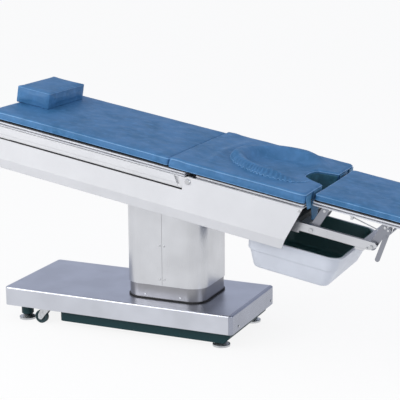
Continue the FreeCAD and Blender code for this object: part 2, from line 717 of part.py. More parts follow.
def make_bearing_plates():
    """Bored plates on the beams' inner faces, round the cross shaft."""
    along, up = gimbal_on_top()
    v1 = BEAM_INNER - CLEAR
    v0 = v1 - BEARING_THICK + CLEAR
    plate = block(along - BEARING_HALF, along + BEARING_HALF, v0, v1, BEAM_TOP - BEAM_HEIGHT, BEAM_TOP)
    plate = plate.cut(rod(SHAFT_RADIUS + RUNNING, (along, v0 - 1, up), (along, v1 + 1, up)))
    return pair(plate)


def make_cross_members():
    """Box members between the beams, and a low one under the slide bars."""
    shapes = []
    half = CROSS_WIDTH / 2
    end = BEAM_INNER - CLEAR
    for place in CROSS_PLACES:
        w1 = BEAM_TOP - 6
        shapes.append(block(place - half, place + half, -end, end, w1 - CROSS_HEIGHT, w1))
    w1 = BEAM_TOP - BEAM_HEIGHT - CLEAR
    end = RUNNER_OUTER - RUNNER_WEB - CLEAR
    shapes.append(block(LOW_CROSS_PLACE - half, LOW_CROSS_PLACE + half, -end, end, w1 - LOW_CROSS_HEIGHT, w1))
    return Part.Compound(shapes)


def make_rest_pads():
    """Rubber pads on the beams that the back section's rails rest on."""
    shapes = []
    for place in PAD_PLACES:
        shapes.append(block(place, place + PAD_LENGTH, RAIL_INNER + 1, BEAM_INNER + BEAM_WIDTH - 1,
                            BEAM_TOP + CLEAR / 2, RAIL_BOTTOM - CLEAR))
    return pair(Part.Compound(shapes))


def make_seat_rail():
    """Side member that carries the seat deck on the beam, with a slanted foot end."""
    upper = deck_levels(CUSHION_THICK)[2] - DECK_THICK - CLEAR
    lower = BEAM_TOP + CLEAR
    v0 = BEAM_INNER + 10
    v1 = v0 + SEAT_RAIL_WIDTH
    start = SEAT_DECK_START + 18
    end_top = end_at(upper) - SEAT_RAIL_SETBACK
    end_low = end_at(lower) - SEAT_RAIL_SETBACK
    outline = [(start, lower), (start, upper), (end_top, upper), (end_low, lower)]
    rail = side_plate(outline, v0, v1)
    t = SEAT_RAIL_WALL
    hollow = [(start - 1, lower + t), (start - 1, upper - t), (end_top + 1, upper - t),
              (end_low + 1, lower + t)]
    return rail.cut(side_plate(hollow, v0 + t, v1 - t))


def end_at(level):
    """Along position of the skirt's slanted foot end at a level."""
    share = (level - SKIRT_TOP) / (SKIRT_BOTTOM - SKIRT_TOP)
    return SKIRT_END + share * (SKIRT_END_LOW - SKIRT_END)


def make_skirt():
    """Bent side panel: upright face, chamfered lower band, turned-in flange, slanted ends and an ear."""
    o = SKIRT_OUTER
    s = SKIRT_SHEET
    low = o - SKIRT_TUCK
    profile = [(o, SKIRT_TOP), (o, SKIRT_FOLD), (low, SKIRT_BOTTOM), (low - SKIRT_FLANGE, SKIRT_BOTTOM),
               (low - SKIRT_FLANGE, SKIRT_BOTTOM + s), (low - 1, SKIRT_BOTTOM + s),
               (o - s, SKIRT_FOLD + 1), (o - s, SKIRT_TOP)]
    panel = end_profile(profile, SKIRT_START - 2, SKIRT_END + 2)
    cut = EAR_CORNER * 0.3
    outline = [(SKIRT_START, SKIRT_BACK_TOP), (EAR_START, SKIRT_BACK_TOP),
               (EAR_START, SKIRT_TOP - EAR_CORNER), (EAR_START + cut, SKIRT_TOP - cut),
               (EAR_START + EAR_CORNER, SKIRT_TOP), (SKIRT_END, SKIRT_TOP),
               (SKIRT_END_LOW, SKIRT_BOTTOM), (SKIRT_START_LOW, SKIRT_BOTTOM)]
    panel = panel.common(side_plate(outline, o - 60, o + 5))
    u = PIVOT_ALONG
    w = -PIVOT_DROP
    return panel.cut(rod(PIVOT_RADIUS + BOLT_CLEAR, (u, o - 10, w), (u, o + 10, w)))


def make_skirt_brackets():
    """Spacer blocks between the beams and the side panels."""
    shapes = []
    v0 = BEAM_INNER + BEAM_WIDTH + CLEAR
    v1 = SKIRT_OUTER - SKIRT_SHEET - CLEAR
    w1 = SKIRT_BACK_TOP - BRACKET_DROP
    for place in BRACKET_PLACES:
        shapes.append(block(place, place + BRACKET_SIZE, v0, v1, w1 - BRACKET_SIZE, w1))
    return pair(Part.Compound(shapes))


def make_skirt_screws():
    """Small screws on the side panels, near the ends and along the lower run."""
    v = SKIRT_OUTER + CLEAR / 2
    shapes = []
    for along, up in ((SKIRT_END - 10, SKIRT_TOP - 11), (SKIRT_START + 22, SKIRT_BACK_TOP - 16)):
        shapes.append(rod(SCREW_RADIUS - 0.5, (along, v, up), (along, v + SCREW_HEAD, up)))
    return pair(Part.Compound(shapes))


def make_basin_runners():
    """Angles under the beams whose shelves carry the basin's rim."""
    v1 = RUNNER_OUTER
    w0 = SKIRT_BOTTOM
    w1 = BEAM_TOP - BEAM_HEIGHT - CLEAR
    shelf_top = BASIN_TOP - BASIN_RIM_THICK - CLEAR
    end = end_at(w0) - RUNNER_SETBACK
    outline = [(RUNNER_START, w0), (RUNNER_START, w1), (BEAM_END, w1), (end, w0)]
    web = side_plate(outline, v1 - RUNNER_WEB, v1)
    shelf = block(RUNNER_START, end, BASIN_HALF - BASIN_FLANGE + 2, v1, w0, shelf_top)
    return pair(web.fuse(shelf))


def make_slide_guides():
    """Grooved guides that the slide bars run in."""
    v1 = BEAM_INNER - CLEAR
    v0 = BAR_OUTER - GUIDE_GRIP
    bar_bottom = BAR_TOP - BAR_HEIGHT
    body = block(GUIDE_START, GUIDE_END, v0, v1, bar_bottom - GUIDE_WALL, BAR_TOP + GUIDE_WALL)
    groove = block(GUIDE_START - 1, GUIDE_END + 1, v0 - 1, BAR_OUTER + GUIDE_SLACK, bar_bottom - GUIDE_SLACK,
                   BAR_TOP + GUIDE_SLACK)
    return pair(body.cut(groove))


def make_hinge_brackets():
    """Brackets on the beams that carry the back section's hinge shaft."""
    v0 = HINGE_BRACKET_INNER
    v1 = v0 + HINGE_BRACKET_THICK
    w0 = BEAM_TOP + CLEAR
    u = PIVOT_ALONG
    w = -PIVOT_DROP
    crown = w + HINGE_BRACKET_CROWN
    outline = [(u - 26, w0), (u - 17, w), (u - 10, crown), (u + 10, crown), (u + 17, w), (u + 34, w0)]
    plate = side_plate(outline, v0, v1)
    hole = rod(PIVOT_RADIUS + BOLT_CLEAR, (u, v0 - 1, w), (u, v1 + 1, w))
    return pair(plate.cut(hole))


def make_hinge_shaft():
    """Shaft across the table that the back section turns on."""
    end = SKIRT_OUTER + 1
    return rod(PIVOT_RADIUS, (PIVOT_ALONG, -end, -PIVOT_DROP), (PIVOT_ALONG, end, -PIVOT_DROP))


def make_pivot_caps():
    """Bolt heads over the ends of the hinge shaft."""
    centre = Vector(PIVOT_ALONG, SKIRT_OUTER + 1 + CLEAR, -PIVOT_DROP)
    return pair(Part.makeCone(PIVOT_RADIUS + 1.5, PIVOT_RADIUS - 1, PIVOT_CAP, centre, Vector(0, 1, 0)))


def cutout_points(grow):
    """Outline of the seat's cut-out at the foot end, made larger all round by grow."""
    inner = CUTOUT_INNER - grow
    a = CUTOUT_INNER_HALF + grow
    b = CUTOUT_MOUTH_HALF + grow
    return [(inner, -a), (SEAT_END + 5, -b), (SEAT_END + 5, b), (inner, a)]


def make_plate(start, end, half, top, thick, corner, cut_grow=None):
    """Flat plate of the tabletop, with the cut-out where cut_grow is given."""
    plate = rounded_block(start, end, -half, half, top - thick, top, corner)
    if cut_grow is not None:
        plate = plate.cut(flat_plate(cutout_points(cut_grow), top - thick - 1, top + 1))
    return plate


def make_spacers(start, end, half, top):
    """Strips that hold the two deck plates apart."""
    v1 = half - SPACER_INSET
    strip = block(start + 6, end - 6, v1 - SPACER_WIDTH, v1, top - DECK_THICK - DECK_GAP + CLEAR / 2,
                  top - DECK_THICK - CLEAR / 2)
    return pair(strip)


def make_section(start, end, half, cushion_thick, cut_grow=None):
    """Backing board of one tabletop section, and its deck of two plates held apart by spacers."""
    board_top, upper_top, lower_top = deck_levels(cushion_thick)
    cuts = (None, None) if cut_grow is None else (cut_grow, cut_grow + 4)
    board = make_plate(start + 2, end - 2, half - BOARD_INSET - 2, board_top, BOARD_THICK, 6, cuts[1])
    upper = make_plate(start, end, half, upper_top, DECK_THICK, 6, cuts[0])
    lower = make_plate(start, end, half, lower_top, DECK_THICK, 6, cuts[0])
    return board, Part.Compound([upper, lower, make_spacers(start, end, half, upper_top)])


def softened(shape, radius):
    """Round the upper edges of a cushion."""
    top = shape.BoundBox.ZMax
    edges = [e for e in shape.Edges if min(v.Z for v in e.Vertexes) > top - 0.01]
    return shape.makeFillet(radius, edges)


def make_back_cushion():
    body = rounded_block(HEAD_END, -CLEAR, -CUSHION_HALF, CUSHION_HALF, -CUSHION_THICK, 0, CUSHION_CORNER)
    return softened(body, CUSHION_EDGE)


def fold_line(depth, side):
    """Along position of the fold's slanted face: side -1 towards the head, 1 towards the foot."""
    return PIVOT_ALONG + side * (PIVOT_DROP - depth) * math.tan(math.radians(BACK_RAISE / 2 + 0.5))


def make_seat_lap():
    """Part of the seat cushion that lies on the back section and lifts with it."""
    t = CUSHION_THICK
    outline = [(CLEAR, -t), (CLEAR, 0), (fold_line(0, -1), 0), (fold_line(t, -1), -t)]
    return side_plate(outline, -CUSHION_HALF, CUSHION_HALF)


def make_seat_cushion():
    """Seat cushion from the fold to the foot end, with the cut-out and the raised oval ring."""
    t = CUSHION_THICK
    outline = [(fold_line(t, 1), -t), (fold_line(0, 1), 0), (SEAT_END, 0), (SEAT_END, -t)]
    body = side_plate(outline, -CUSHION_HALF, CUSHION_HALF)
    foot_corners = [e for e in upright_edges(body) if e.Vertexes[0].X > SEAT_END - 1]
    body = body.makeFillet(CUSHION_CORNER, foot_corners)
    ring = oval(RING_HALF_LENGTH, RING_HALF_WIDTH, -2, RING_RISE)
    ring = ring.cut(oval(RING_HALF_LENGTH - RING_BAND, RING_HALF_WIDTH - RING_BAND, -3, RING_RISE + 1))
    body = body.fuse(ring)
    return body.cut(flat_plate(cutout_points(0), -t - 1, RING_RISE + 1)).removeSplitter()


def oval(half_length, half_width, w0, w1):
    """Elliptical slab about the ring's centre."""
    if half_length >= half_width:
        curve = Part.Ellipse(Vector(RING_CENTRE, 0, w0), half_length, half_width).toShape()
    else:
        curve = Part.Ellipse(Vector(0, 0, w0), half_width, half_length).toShape()
        curve.rotate(Vector(0, 0, 0), Vector(0, 0, 1), 90)
        curve.translate(Vector(RING_CENTRE, 0, 0))
    return Part.Face(Part.Wire([curve])).extrude(Vector(0, 0, w1 - w0))


def make_pillow():
    v0 = PILLOW_ACROSS - PILLOW_WIDTH / 2
    shape = rounded_block(HEAD_END, HEAD_END + PILLOW_LENGTH, v0, v0 + PILLOW_WIDTH, CLEAR, PILLOW_HEIGHT,
                          PILLOW_CORNER)
    return softened(shape, PILLOW_CORNER - 1)


def make_back_rail():
    """Side rail of the back section, with a proud accessory band and a pocket at its slanted end."""
    start = HEAD_END + 12
    outline = [(start, RAIL_BOTTOM), (start, RAIL_TOP), (RAIL_END, RAIL_TOP), (RAIL_END_LOW, RAIL_BOTTOM)]
    inner_face = RAIL_OUTER - RAIL_STEP
    rail = side_plate(outline, RAIL_INNER, inner_face)
    hollow = block(start - 1, RAIL_END - 30, RAIL_INNER + RAIL_WALL, inner_face - RAIL_WALL,
                   RAIL_BOTTOM + RAIL_WALL, RAIL_TOP - RAIL_WALL)
    rail = rail.cut(hollow)
    step = RAIL_TOP - RAIL_STEP_DROP
    slope = (RAIL_END_LOW - RAIL_END) / (RAIL_TOP - RAIL_BOTTOM)
    band = [(start, step), (start, RAIL_TOP), (RAIL_END, RAIL_TOP), (RAIL_END + slope * RAIL_STEP_DROP, step)]
    rail = rail.fuse(side_plate(band, inner_face - 1, RAIL_OUTER))
    return rail.removeSplitter()


def make_hinge_arm():
    """Flat arm from the rail's end to the hinge shaft, with a shallow pocket in its outer face."""
    v0 = ARM_INNER
    v1 = v0 + ARM_THICK
    level = -PIVOT_DROP
    start = RAIL_END + 1
    slope = (RAIL_END_LOW - RAIL_END) / (RAIL_TOP - RAIL_BOTTOM)
    outline = [(start, RAIL_TOP), (start + slope * (RAIL_TOP - RAIL_BOTTOM), RAIL_BOTTOM),
               (PIVOT_ALONG - 22, RAIL_BOTTOM), (PIVOT_ALONG, level - ARM_EYE),
               (PIVOT_ALONG, RAIL_TOP), (PIVOT_ALONG - 10, RAIL_TOP)]
    arm = side_plate(outline, v0, v1).fuse(rod(ARM_EYE, (PIVOT_ALONG, v0, level), (PIVOT_ALONG, v1, level)))
    arm = arm.common(block(0, PIVOT_ALONG + 60, v0 - 1, v1 + 1, RAIL_BOTTOM, RAIL_TOP + 4))
    pocket = side_plate([(start + 2, RAIL_TOP - 3), (start + 17, RAIL_TOP - 3), (start + 21, RAIL_TOP - 8),
                         (start + 24, RAIL_TOP - 27), (start + 17, RAIL_TOP - 27)], v1 - POCKET_DEPTH, v1 + 1)
    hole = rod(PIVOT_RADIUS + RUNNING, (PIVOT_ALONG, v0 - 1, level), (PIVOT_ALONG, v1 + 1, level))
    return arm.cut(pocket).cut(hole).removeSplitter()


def link_ends(which):
    """Lower and upper pin of the head-side (0) or foot-side (1) link."""
    low = (LINK_LOW[0] + which * LINK_PITCH, LINK_LOW[1])
    return low, (low[0] + LINK_REACH, low[1] + LINK_RISE)


def make_slide_bar():
    """Channel bar open to the inside, with a slanted foot end."""
    w1 = BAR_TOP
    w0 = BAR_TOP - BAR_HEIGHT
    v0 = BAR_OUTER - BAR_DEPTH
    outline = [(BAR_START, w0), (BAR_START, w1), (BAR_END - 8, w1), (BAR_END, w1 - 8), (BAR_END, w1 - 14),
               (BAR_END_LOW, w0)]
    bar = side_plate(outline, v0, BAR_OUTER)
    bar = bar.cut(block(BAR_START - 1, BAR_END + 1, v0 - 1, BAR_OUTER - BAR_WEB, w0 + BAR_WEB, w1 - BAR_WEB))
    for which in (0, 1):
        low = link_ends(which)[0]
        hole = rod(LINK_PIN + BOLT_CLEAR, (low[0], v0, low[1]), (low[0], BAR_OUTER + 1, low[1]))
        bar = bar.cut(hole)
    return bar


def make_bar_cross():
    """Flat members that join the two slide bars."""
    w1 = BAR_TOP - BAR_HEIGHT - CLEAR
    h = BAR_CROSS_WIDTH / 2
    shapes = []
    for place in BAR_CROSS_PLACES:
        shapes.append(block(place - h, place + h, -BAR_OUTER, BAR_OUTER, w1 - BAR_CROSS_THICK, w1))
    return Part.Compound(shapes)


def make_bar_pins():
    """Headed pins of the links, fixed in the bars."""
    shapes = []
    for which in (0, 1):
        x, z = link_ends(which)[0]
        inner = LINK_OUTER - LINK_THICK - 3
        pin = rod(LINK_PIN, (x, inner, z), (x, BAR_OUTER + 2, z))
        shapes.append(pin.fuse(rod(KNOB_RADIUS, (x, BAR_OUTER + CLEAR, z), (x, BAR_OUTER + 5, z))))
    return pair(Part.Compound(shapes))


def make_end_knobs():
    """Small thumb screws on the end of each bar."""
    x = BAR_END_LOW + 1
    z = BAR_TOP - BAR_HEIGHT + 5
    v = BAR_OUTER + CLEAR
    knob = rod(4, (x - 10, v, z), (x - 10, v + 5, z))
    return pair(knob)


def make_links(which):
    """Flat links between a slide bar and the leg section, one each side."""
    low, high = link_ends(which)
    v1 = LINK_OUTER
    v0 = v1 - LINK_THICK
    link = capsule(low, high, LINK_HALF, v0, v1)
    link = link.cut(rod(LINK_PIN + RUNNING, (low[0], v0 - 1, low[1]), (low[0], v1 + 1, low[1])))
    link = link.cut(rod(LINK_PIN + (RUNNING if which == 0 else 0.8), (high[0], v0 - 1, high[1]),
                        (high[0], v1 + 1, high[1])))
    return pair(link)


def stay_pin():
    """Pin of the stay rod on the foot-side link."""
    low, high = link_ends(1)
    s = STAY_PIN_SHARE
    return low[0] + s * (high[0] - low[0]), low[1] + s * (high[1] - low[1])


def make_stay_studs():
    """Studs on the foot-side links that the stay rods turn on."""
    x, z = stay_pin()
    v1 = LINK_OUTER - LINK_THICK - CLEAR / 2
    return pair(rod(3, (x, v1 - 10, z), (x, v1, z)))


def make_stay_rods():
    """Thin rods from the foot-side links through the eyes under the leg deck."""
    x, z = stay_pin()
    v = LINK_OUTER - LINK_THICK - 6
    ex, ez = STAY_EYE
    length = math.hypot(ex - x, ez - z)
    tail = 8
    end = (ex + (ex - x) / length * tail, ez + (ez - z) / length * tail)
    shaft = rod(STAY_RADIUS, (x, v, z), (end[0], v, end[1]))
    loop = rod(6, (x, v - 2.5, z), (x, v + 2.5, z))
    loop = loop.fuse(shaft).cut(rod(3 + RUNNING, (x, v - 4, z), (x, v + 4, z)))
    return pair(loop)


def leg_deck_bottom():
    return deck_levels(LEG_CUSHION_THICK)[2] - DECK_THICK


def make_leg_ears():
    """Ears under the leg deck with the links' top pins, the stay rods' eyes and the lever's blocks."""
    top = leg_deck_bottom() - CLEAR / 2
    shapes = []
    v1 = LINK_OUTER - LINK_THICK - 14
    v0 = v1 - EAR_THICK
    for which in (0, 1):
        x, z = link_ends(which)[1]
        ear = capsule((x, top - 8), (x, z), 9, v0, v1).common(block(x - 20, x + 20, v0, v1, z - 20, top))
        ear = ear.fuse(block(x - 9, x + 9, v0 - 14, v1, top - 3, top))
        pin = rod(LINK_PIN, (x, v0, z), (x, LINK_OUTER + 1, z))
        shapes.append(ear.fuse(pin))
    ex, ez = STAY_EYE
    v = LINK_OUTER - LINK_THICK - 6
    eye = block(ex - 4, ex + 4, v - 7, v + 7, ez - 8, top)
    slot = block(ex - 5, ex + 5, v - STAY_RADIUS - 1, v + STAY_RADIUS + 1, ez - 4.5, ez + 4.5)
    shapes.append(eye.cut(slot))
    return pair(Part.Compound(shapes))


def make_lever_blocks():
    """Blocks under the leg deck's edge that the release lever turns on."""
    x, z = LEVER_PIVOT
    top = leg_deck_bottom() - CLEAR / 2
    v1 = LEG_DECK_HALF
    v0 = v1 - 10
    body = block(x - 9, x + 9, v0, v1, z - 7, top)
    pin = rod(4, (x, v1 - 1, z), (x, LEVER_OUTER + 2, z))
    return pair(body.fuse(pin))


def make_lever():
    """Release lever: a flat bar each side with rounded tips, joined by a cross rod."""
    v0 = LEVER_OUTER - LEVER_THICK
    bar = capsule(LEVER_PIVOT, LEVER_TIP, LEVER_HALF, v0, LEVER_OUTER)
    x, z = LEVER_PIVOT
    bar = bar.cut(rod(4 + RUNNING, (x, v0 - 1, z), (x, LEVER_OUTER + 1, z)))
    dx = LEVER_TIP[0] - x
    dz = LEVER_TIP[1] - z
    share = CROSS_ROD_DROP / abs(dz)
    cross = rod(CROSS_ROD_RADIUS, (x + share * dx, -LEVER_OUTER - 2, z - CROSS_ROD_DROP),
                (x + share * dx, LEVER_OUTER + 2, z - CROSS_ROD_DROP))
    return bar.fuse(mirrored(bar)).fuse(cross).removeSplitter()


def tapered_tub(x0, x1, half, top, depth, taper, corner):
    """Block with rounded corners that narrows downwards by taper on each side."""
    wires = []
    for level, inset in ((top, 0.0), (top - depth, taper)):
        slab = rounded_block(x0 + inset, x1 - inset, -half + inset, half - inset, level, level + 1, corner)
        face = min(slab.Faces, key=lambda f: f.CenterOfMass.z)
        wires.append(face.OuterWire)
    return Part.makeLoft(wires, True, True)


def make_basin():
    """Moulded basin: flanged rim, upper band, a step inwards and a tapered lower body."""
    f = BASIN_FLANGE
    x0 = BASIN_START + f
    x1 = BASIN_END - f
    half = BASIN_HALF - f
    rim_low = BASIN_TOP - BASIN_RIM_THICK
    rim = rounded_block(BASIN_START, BASIN_END, -BASIN_HALF, BASIN_HALF, rim_low, BASIN_TOP, BASIN_CORNER)
    low = BASIN_TOP - BASIN_DEPTH
    c = BASIN_CORNER - f

    def body(grow, floor):
        depth = BASIN_STEP_DROP + grow
        upper = tapered_tub(x0 - grow, x1 + grow, half + grow, BASIN_TOP, depth, BASIN_UPPER_TAPER, c)
        inset = BASIN_UPPER_TAPER + BASIN_STEP - grow
        top = BASIN_TOP - depth + BASIN_LAP
        lower = tapered_tub(x0 + inset, x1 - inset, half - inset, top, top - floor, BASIN_LOWER_TAPER, c)
        return upper.fuse(lower)

    outer = rim.fuse(body(0, low))
    inner = body(-BASIN_WALL, low + BASIN_WALL)
    return outer.cut(inner).removeSplitter()


def make_flaps():
    """Blue flaps that hang in front of the seat's foot end."""
    shapes = []
    u0 = SEAT_END + CLEAR
    for v0, v1, bottom in FLAPS:
        shapes.append(block(u0, u0 + FLAP_THICK, v0, v1, bottom, FLAP_TOP))
    return pair(Part.Compound(shapes))


def tabletop_parts():
    """Every piece drawn in the tabletop's frame."""
    parts = {}
    skirt = make_skirt()
    parts["side_skirt_far"] = skirt
    parts["side_skirt_near"] = mirrored(skirt)
    parts["frame_beams"] = Part.Compound([pair(make_beam()), make_bearing_plates()])
    parts["cross_members"] = Part.Compound([make_cross_members(), make_skirt_brackets()])
    parts["skirt_bolts"] = Part.Compound([make_skirt_screws(), make_pivot_caps()])
    parts["rest_pads"] = make_rest_pads()
    parts["seat_rails"] = Part.Compound([pair(make_seat_rail()), make_hinge_brackets()])
    parts["basin_runners"] = make_basin_runners()
    parts["slide_guides"] = make_slide_guides()
    parts["hinge_shaft"] = make_hinge_shaft()
    sections = (
        ("back", HEAD_END, BACK_DECK_END, DECK_HALF, CUSHION_THICK, None),
        ("seat", SEAT_DECK_START, SEAT_END, DECK_HALF, CUSHION_THICK, 0),
        ("leg", LEG_START, LEG_END, LEG_DECK_HALF, LEG_CUSHION_THICK, None),
    )
    for name, start, end, half, thick, cut in sections:
        parts[name + "_board"], parts[name + "_deck"] = make_section(start, end, half, thick, cut)
    parts["back_cushion"] = make_back_cushion()
    parts["seat_cushion_lap"] = make_seat_lap()
    parts["seat_cushion"] = make_seat_cushion()
    leg = rounded_block(LEG_START, LEG_END, -LEG_HALF, LEG_HALF, -LEG_CUSHION_THICK, 0, CUSHION_CORNER)
    parts["leg_cushion"] = softened(leg, CUSHION_EDGE)
    parts["pillow"] = make_pillow()
    parts["back_rails"] = Part.Compound([pair(make_back_rail()), pair(make_hinge_arm())])
    parts["drape_flaps"] = make_flaps()
    parts["slide_bars"] = Part.Compound([pair(make_slide_bar()), make_bar_cross()])
    parts["bar_pins"] = Part.Compound([make_bar_pins(), make_end_knobs()])
    parts["head_links"] = make_links(0)
    parts["foot_links"] = Part.Compound([make_links(1), make_stay_studs()])
    parts["stay_rods"] = make_stay_rods()
    parts["leg_ears"] = Part.Compound([make_leg_ears(), make_lever_blocks()])
    parts["release_lever"] = make_lever()
    parts["drain_basin"] = make_basin()
    turn = FreeCAD.Rotation(Vector(0, 1, 0), TILT)
    place = FreeCAD.Placement(Vector(SEAM_FROM_BASE, 0, SEAM_HEIGHT), turn)
    for shape in parts.values():
        shape.transformShape(place.toMatrix(), True)
    return parts


def standing_parts():
    """Base and column pieces."""
    parts = {}
    parts["base_cover"], parts["base_end_cap"] = make_base_cover()
    parts["base_chassis"] = make_chassis()
    parts["base_pan"] = make_pan()
    parts["foot_housings"] = make_foot_housings()
    parts["floor_lock_feet"] = make_feet()
    parts["castor_plates"] = make_castor_plates()
    for number, (x, y) in enumerate(castor_places(), 1):
        parts["castor_fork_%d" % number] = make_fork(x, y)
        parts["castor_wheel_%d" % number] = make_wheel(x, y)
    parts["column_shroud"] = make_shroud()
    parts["column_gasket"] = make_gasket()
    parts["base_screws"] = Part.Compound([make_cap_screws(), make_shroud_screws()])
    parts["mast_tube"] = make_mast()
    parts["lift_cylinder"] = make_lift_cylinder()
    parts["sleeve_half_head"], parts["sleeve_half_foot"] = make_sleeve_halves()
    parts["sleeve_screws"] = make_column_screws()
    parts["column_top_plate"] = make_top_plate()
    parts["mast_slider"] = make_slider()
    parts["lift_rod"] = make_lift_rod()
    parts["tilt_yoke"] = make_yoke()
    parts["tilt_cradle"] = Part.Compound([make_cradle(), make_tilt_motors()])
    parts["cross_shaft"] = make_cross_shaft()
    return parts


def middle_of_table():
    """Along position of the middle of the whole table's box, from the middle of the base."""
    a = math.radians(TILT)
    edge = CUSHION_EDGE
    foot = SEAM_FROM_BASE + (LEG_END - edge) * math.cos(a) - edge * math.sin(a) + edge
    deck_bottom = deck_levels(CUSHION_THICK)[2] - DECK_THICK
    head = SEAM_FROM_BASE + HEAD_END * math.cos(a) + deck_bottom * math.sin(a)
    return (min(head, -BASE_LENGTH / 2) + foot) / 2


def main():
    os.makedirs("parts", exist_ok=True)
    parts = standing_parts()
    parts.update(tabletop_parts())
    shift = Vector(-middle_of_table(), 0, 0)
    for name, shape in sorted(parts.items()):
        shape.translate(shift)
        shape.exportStep("parts/%s.step" % name)


main()
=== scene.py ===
"""Looks of the operating table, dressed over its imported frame.

Metres, in the frame of the CAD model. The tabletop's pieces are drawn along, across and up from the seam
between the back and seat cushions, in millimetres, and are then put into place.
"""
import json
import math

import bpy
import numpy as np
from mathutils import Matrix, Vector, noise
from mathutils.bvhtree import BVHTree


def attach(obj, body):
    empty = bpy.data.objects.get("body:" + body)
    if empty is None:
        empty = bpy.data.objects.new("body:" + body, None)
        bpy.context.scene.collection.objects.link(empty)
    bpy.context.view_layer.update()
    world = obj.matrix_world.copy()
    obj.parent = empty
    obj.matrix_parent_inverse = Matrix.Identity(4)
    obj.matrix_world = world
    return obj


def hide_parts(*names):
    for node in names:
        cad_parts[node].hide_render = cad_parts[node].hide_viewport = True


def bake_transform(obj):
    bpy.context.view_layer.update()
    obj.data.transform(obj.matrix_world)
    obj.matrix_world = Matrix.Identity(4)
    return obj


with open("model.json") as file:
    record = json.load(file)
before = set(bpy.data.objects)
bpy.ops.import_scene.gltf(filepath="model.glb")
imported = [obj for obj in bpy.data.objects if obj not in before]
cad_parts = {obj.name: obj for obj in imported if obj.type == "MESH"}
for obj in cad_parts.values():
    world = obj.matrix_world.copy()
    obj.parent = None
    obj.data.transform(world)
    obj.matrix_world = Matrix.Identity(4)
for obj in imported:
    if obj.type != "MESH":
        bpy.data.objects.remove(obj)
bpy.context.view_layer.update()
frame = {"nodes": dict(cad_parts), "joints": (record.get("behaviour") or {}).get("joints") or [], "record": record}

MM = 0.001


# The tabletop's own frame

def joint(name):
    return next(j for j in frame["joints"] if j["name"] == name)


HINGE_ALONG = 85.0      # back section's hinge from the cushion seam
HINGE_UP = -60.0
ALONG = Vector(joint("carriage_slide")["axis"]).normalized()
ACROSS = Vector((0.0, 1.0, 0.0))
UP = ALONG.cross(ACROSS)
SEAM = Vector(joint("back_raise")["pos_m"]) - (ALONG * HINGE_ALONG + UP * HINGE_UP) * MM
TABLE = Matrix.Translation(SEAM) @ Matrix((ALONG, ACROSS, UP)).transposed().to_4x4() @ Matrix.Scale(MM, 4)
TO_TABLE = TABLE.inverted()


def table_box(node):
    """Lowest and highest corner of a CAD node in the tabletop's frame, in millimetres."""
    points = np.array([TO_TABLE @ v.co for v in frame["nodes"][node].data.vertices])
    return points.min(0), points.max(0)


# Mesh helpers

EDGE_SHARES = (np.arange(5) / 5) ** 2  # places of grid lines in an edge's rounding, from the corner
TUBE_SIDES = 8
TUBE_TIP = 0.3          # a cord's last ring, of its radius


def add_object(name, data):
    obj = bpy.data.objects.new(name, data)
    bpy.context.scene.collection.objects.link(obj)
    return obj


def new_object(name, verts, faces, materials, indices=None):
    """Smooth mesh object from millimetre points of the tabletop's frame."""
    mesh = bpy.data.meshes.new(name)
    mesh.from_pydata([tuple(v) for v in verts], [], [tuple(f) for f in faces])
    mesh.transform(TABLE)
    for material in materials:
        mesh.materials.append(material)
    mesh.polygons.foreach_set("use_smooth", [True] * len(mesh.polygons))
    if indices is not None:
        mesh.polygons.foreach_set("material_index", indices)
    mesh.update()
    return add_object(name, mesh)


def coordinates(mesh):
    flat = np.zeros(len(mesh.vertices) * 3)
    mesh.vertices.foreach_get("co", flat)
    return flat.reshape(-1, 3)


def unit(vectors):
    """Rows scaled to a length of one, apart from those of no length."""
    return vectors / np.maximum(np.linalg.norm(vectors, axis=1, keepdims=True), 1e-6)


def run_length(path):
    """Distance along a path at each of its points."""
    return np.concatenate([[0.0], np.cumsum(np.linalg.norm(np.diff(path, axis=0), axis=1))])


def grid_lines(low, high, step, edge):
    """Positions from low to high, closer together within edge of both ends."""
    count = max(1, round((high - low - 2 * edge) / step))
    middle = np.linspace(low + edge, high - edge, count + 1)
    return np.concatenate([low + edge * EDGE_SHARES, middle, high - edge * EDGE_SHARES[::-1]])


def box_grid(xs, ys, zs):
    """Vertices and outward quads of a box's surface on three sets of grid lines."""
    index = {}
    verts = []

    def at(i, j, k):
        key = (i, j, k)
        if key not in index:
            index[key] = len(verts)
            verts.append((xs[i], ys[j], zs[k]))
        return index[key]

    faces = []
    nx, ny, nz = len(xs) - 1, len(ys) - 1, len(zs) - 1
    for i in range(nx):
        for j in range(ny):
            faces.append((at(i, j, 0), at(i, j + 1, 0), at(i + 1, j + 1, 0), at(i + 1, j, 0)))
            faces.append((at(i, j, nz), at(i + 1, j, nz), at(i + 1, j + 1, nz), at(i, j + 1, nz)))
    for i in range(nx):
        for k in range(nz):
            faces.append((at(i, 0, k), at(i + 1, 0, k), at(i + 1, 0, k + 1), at(i, 0, k + 1)))
            faces.append((at(i, ny, k), at(i, ny, k + 1), at(i + 1, ny, k + 1), at(i + 1, ny, k)))
    for j in range(ny):
        for k in range(nz):
            faces.append((at(0, j, k), at(0, j, k + 1), at(0, j + 1, k + 1), at(0, j + 1, k)))
            faces.append((at(nx, j, k), at(nx, j + 1, k), at(nx, j + 1, k + 1), at(nx, j, k + 1)))
    return np.array(verts), faces


def sheet_faces(rows, columns):
    """Quads between the points of a sheet that are listed row by row."""
    faces = []
    for i in range(rows - 1):
        for j in range(columns - 1):
            a = i * columns + j
            faces.append((a, a + 1, a + columns + 1, a + columns))
    return faces


def rounded(points, low, high, radii):
    """Points of a box moved onto the same box with elliptic rounded edges."""
    radii = np.array(radii, float)
    core = np.clip(points, low + radii, high - radii)
    away = (points - core) / radii
    length = np.linalg.norm(away, axis=1, keepdims=True)
    length[length == 0] = 1.0
    return core + radii * away / length


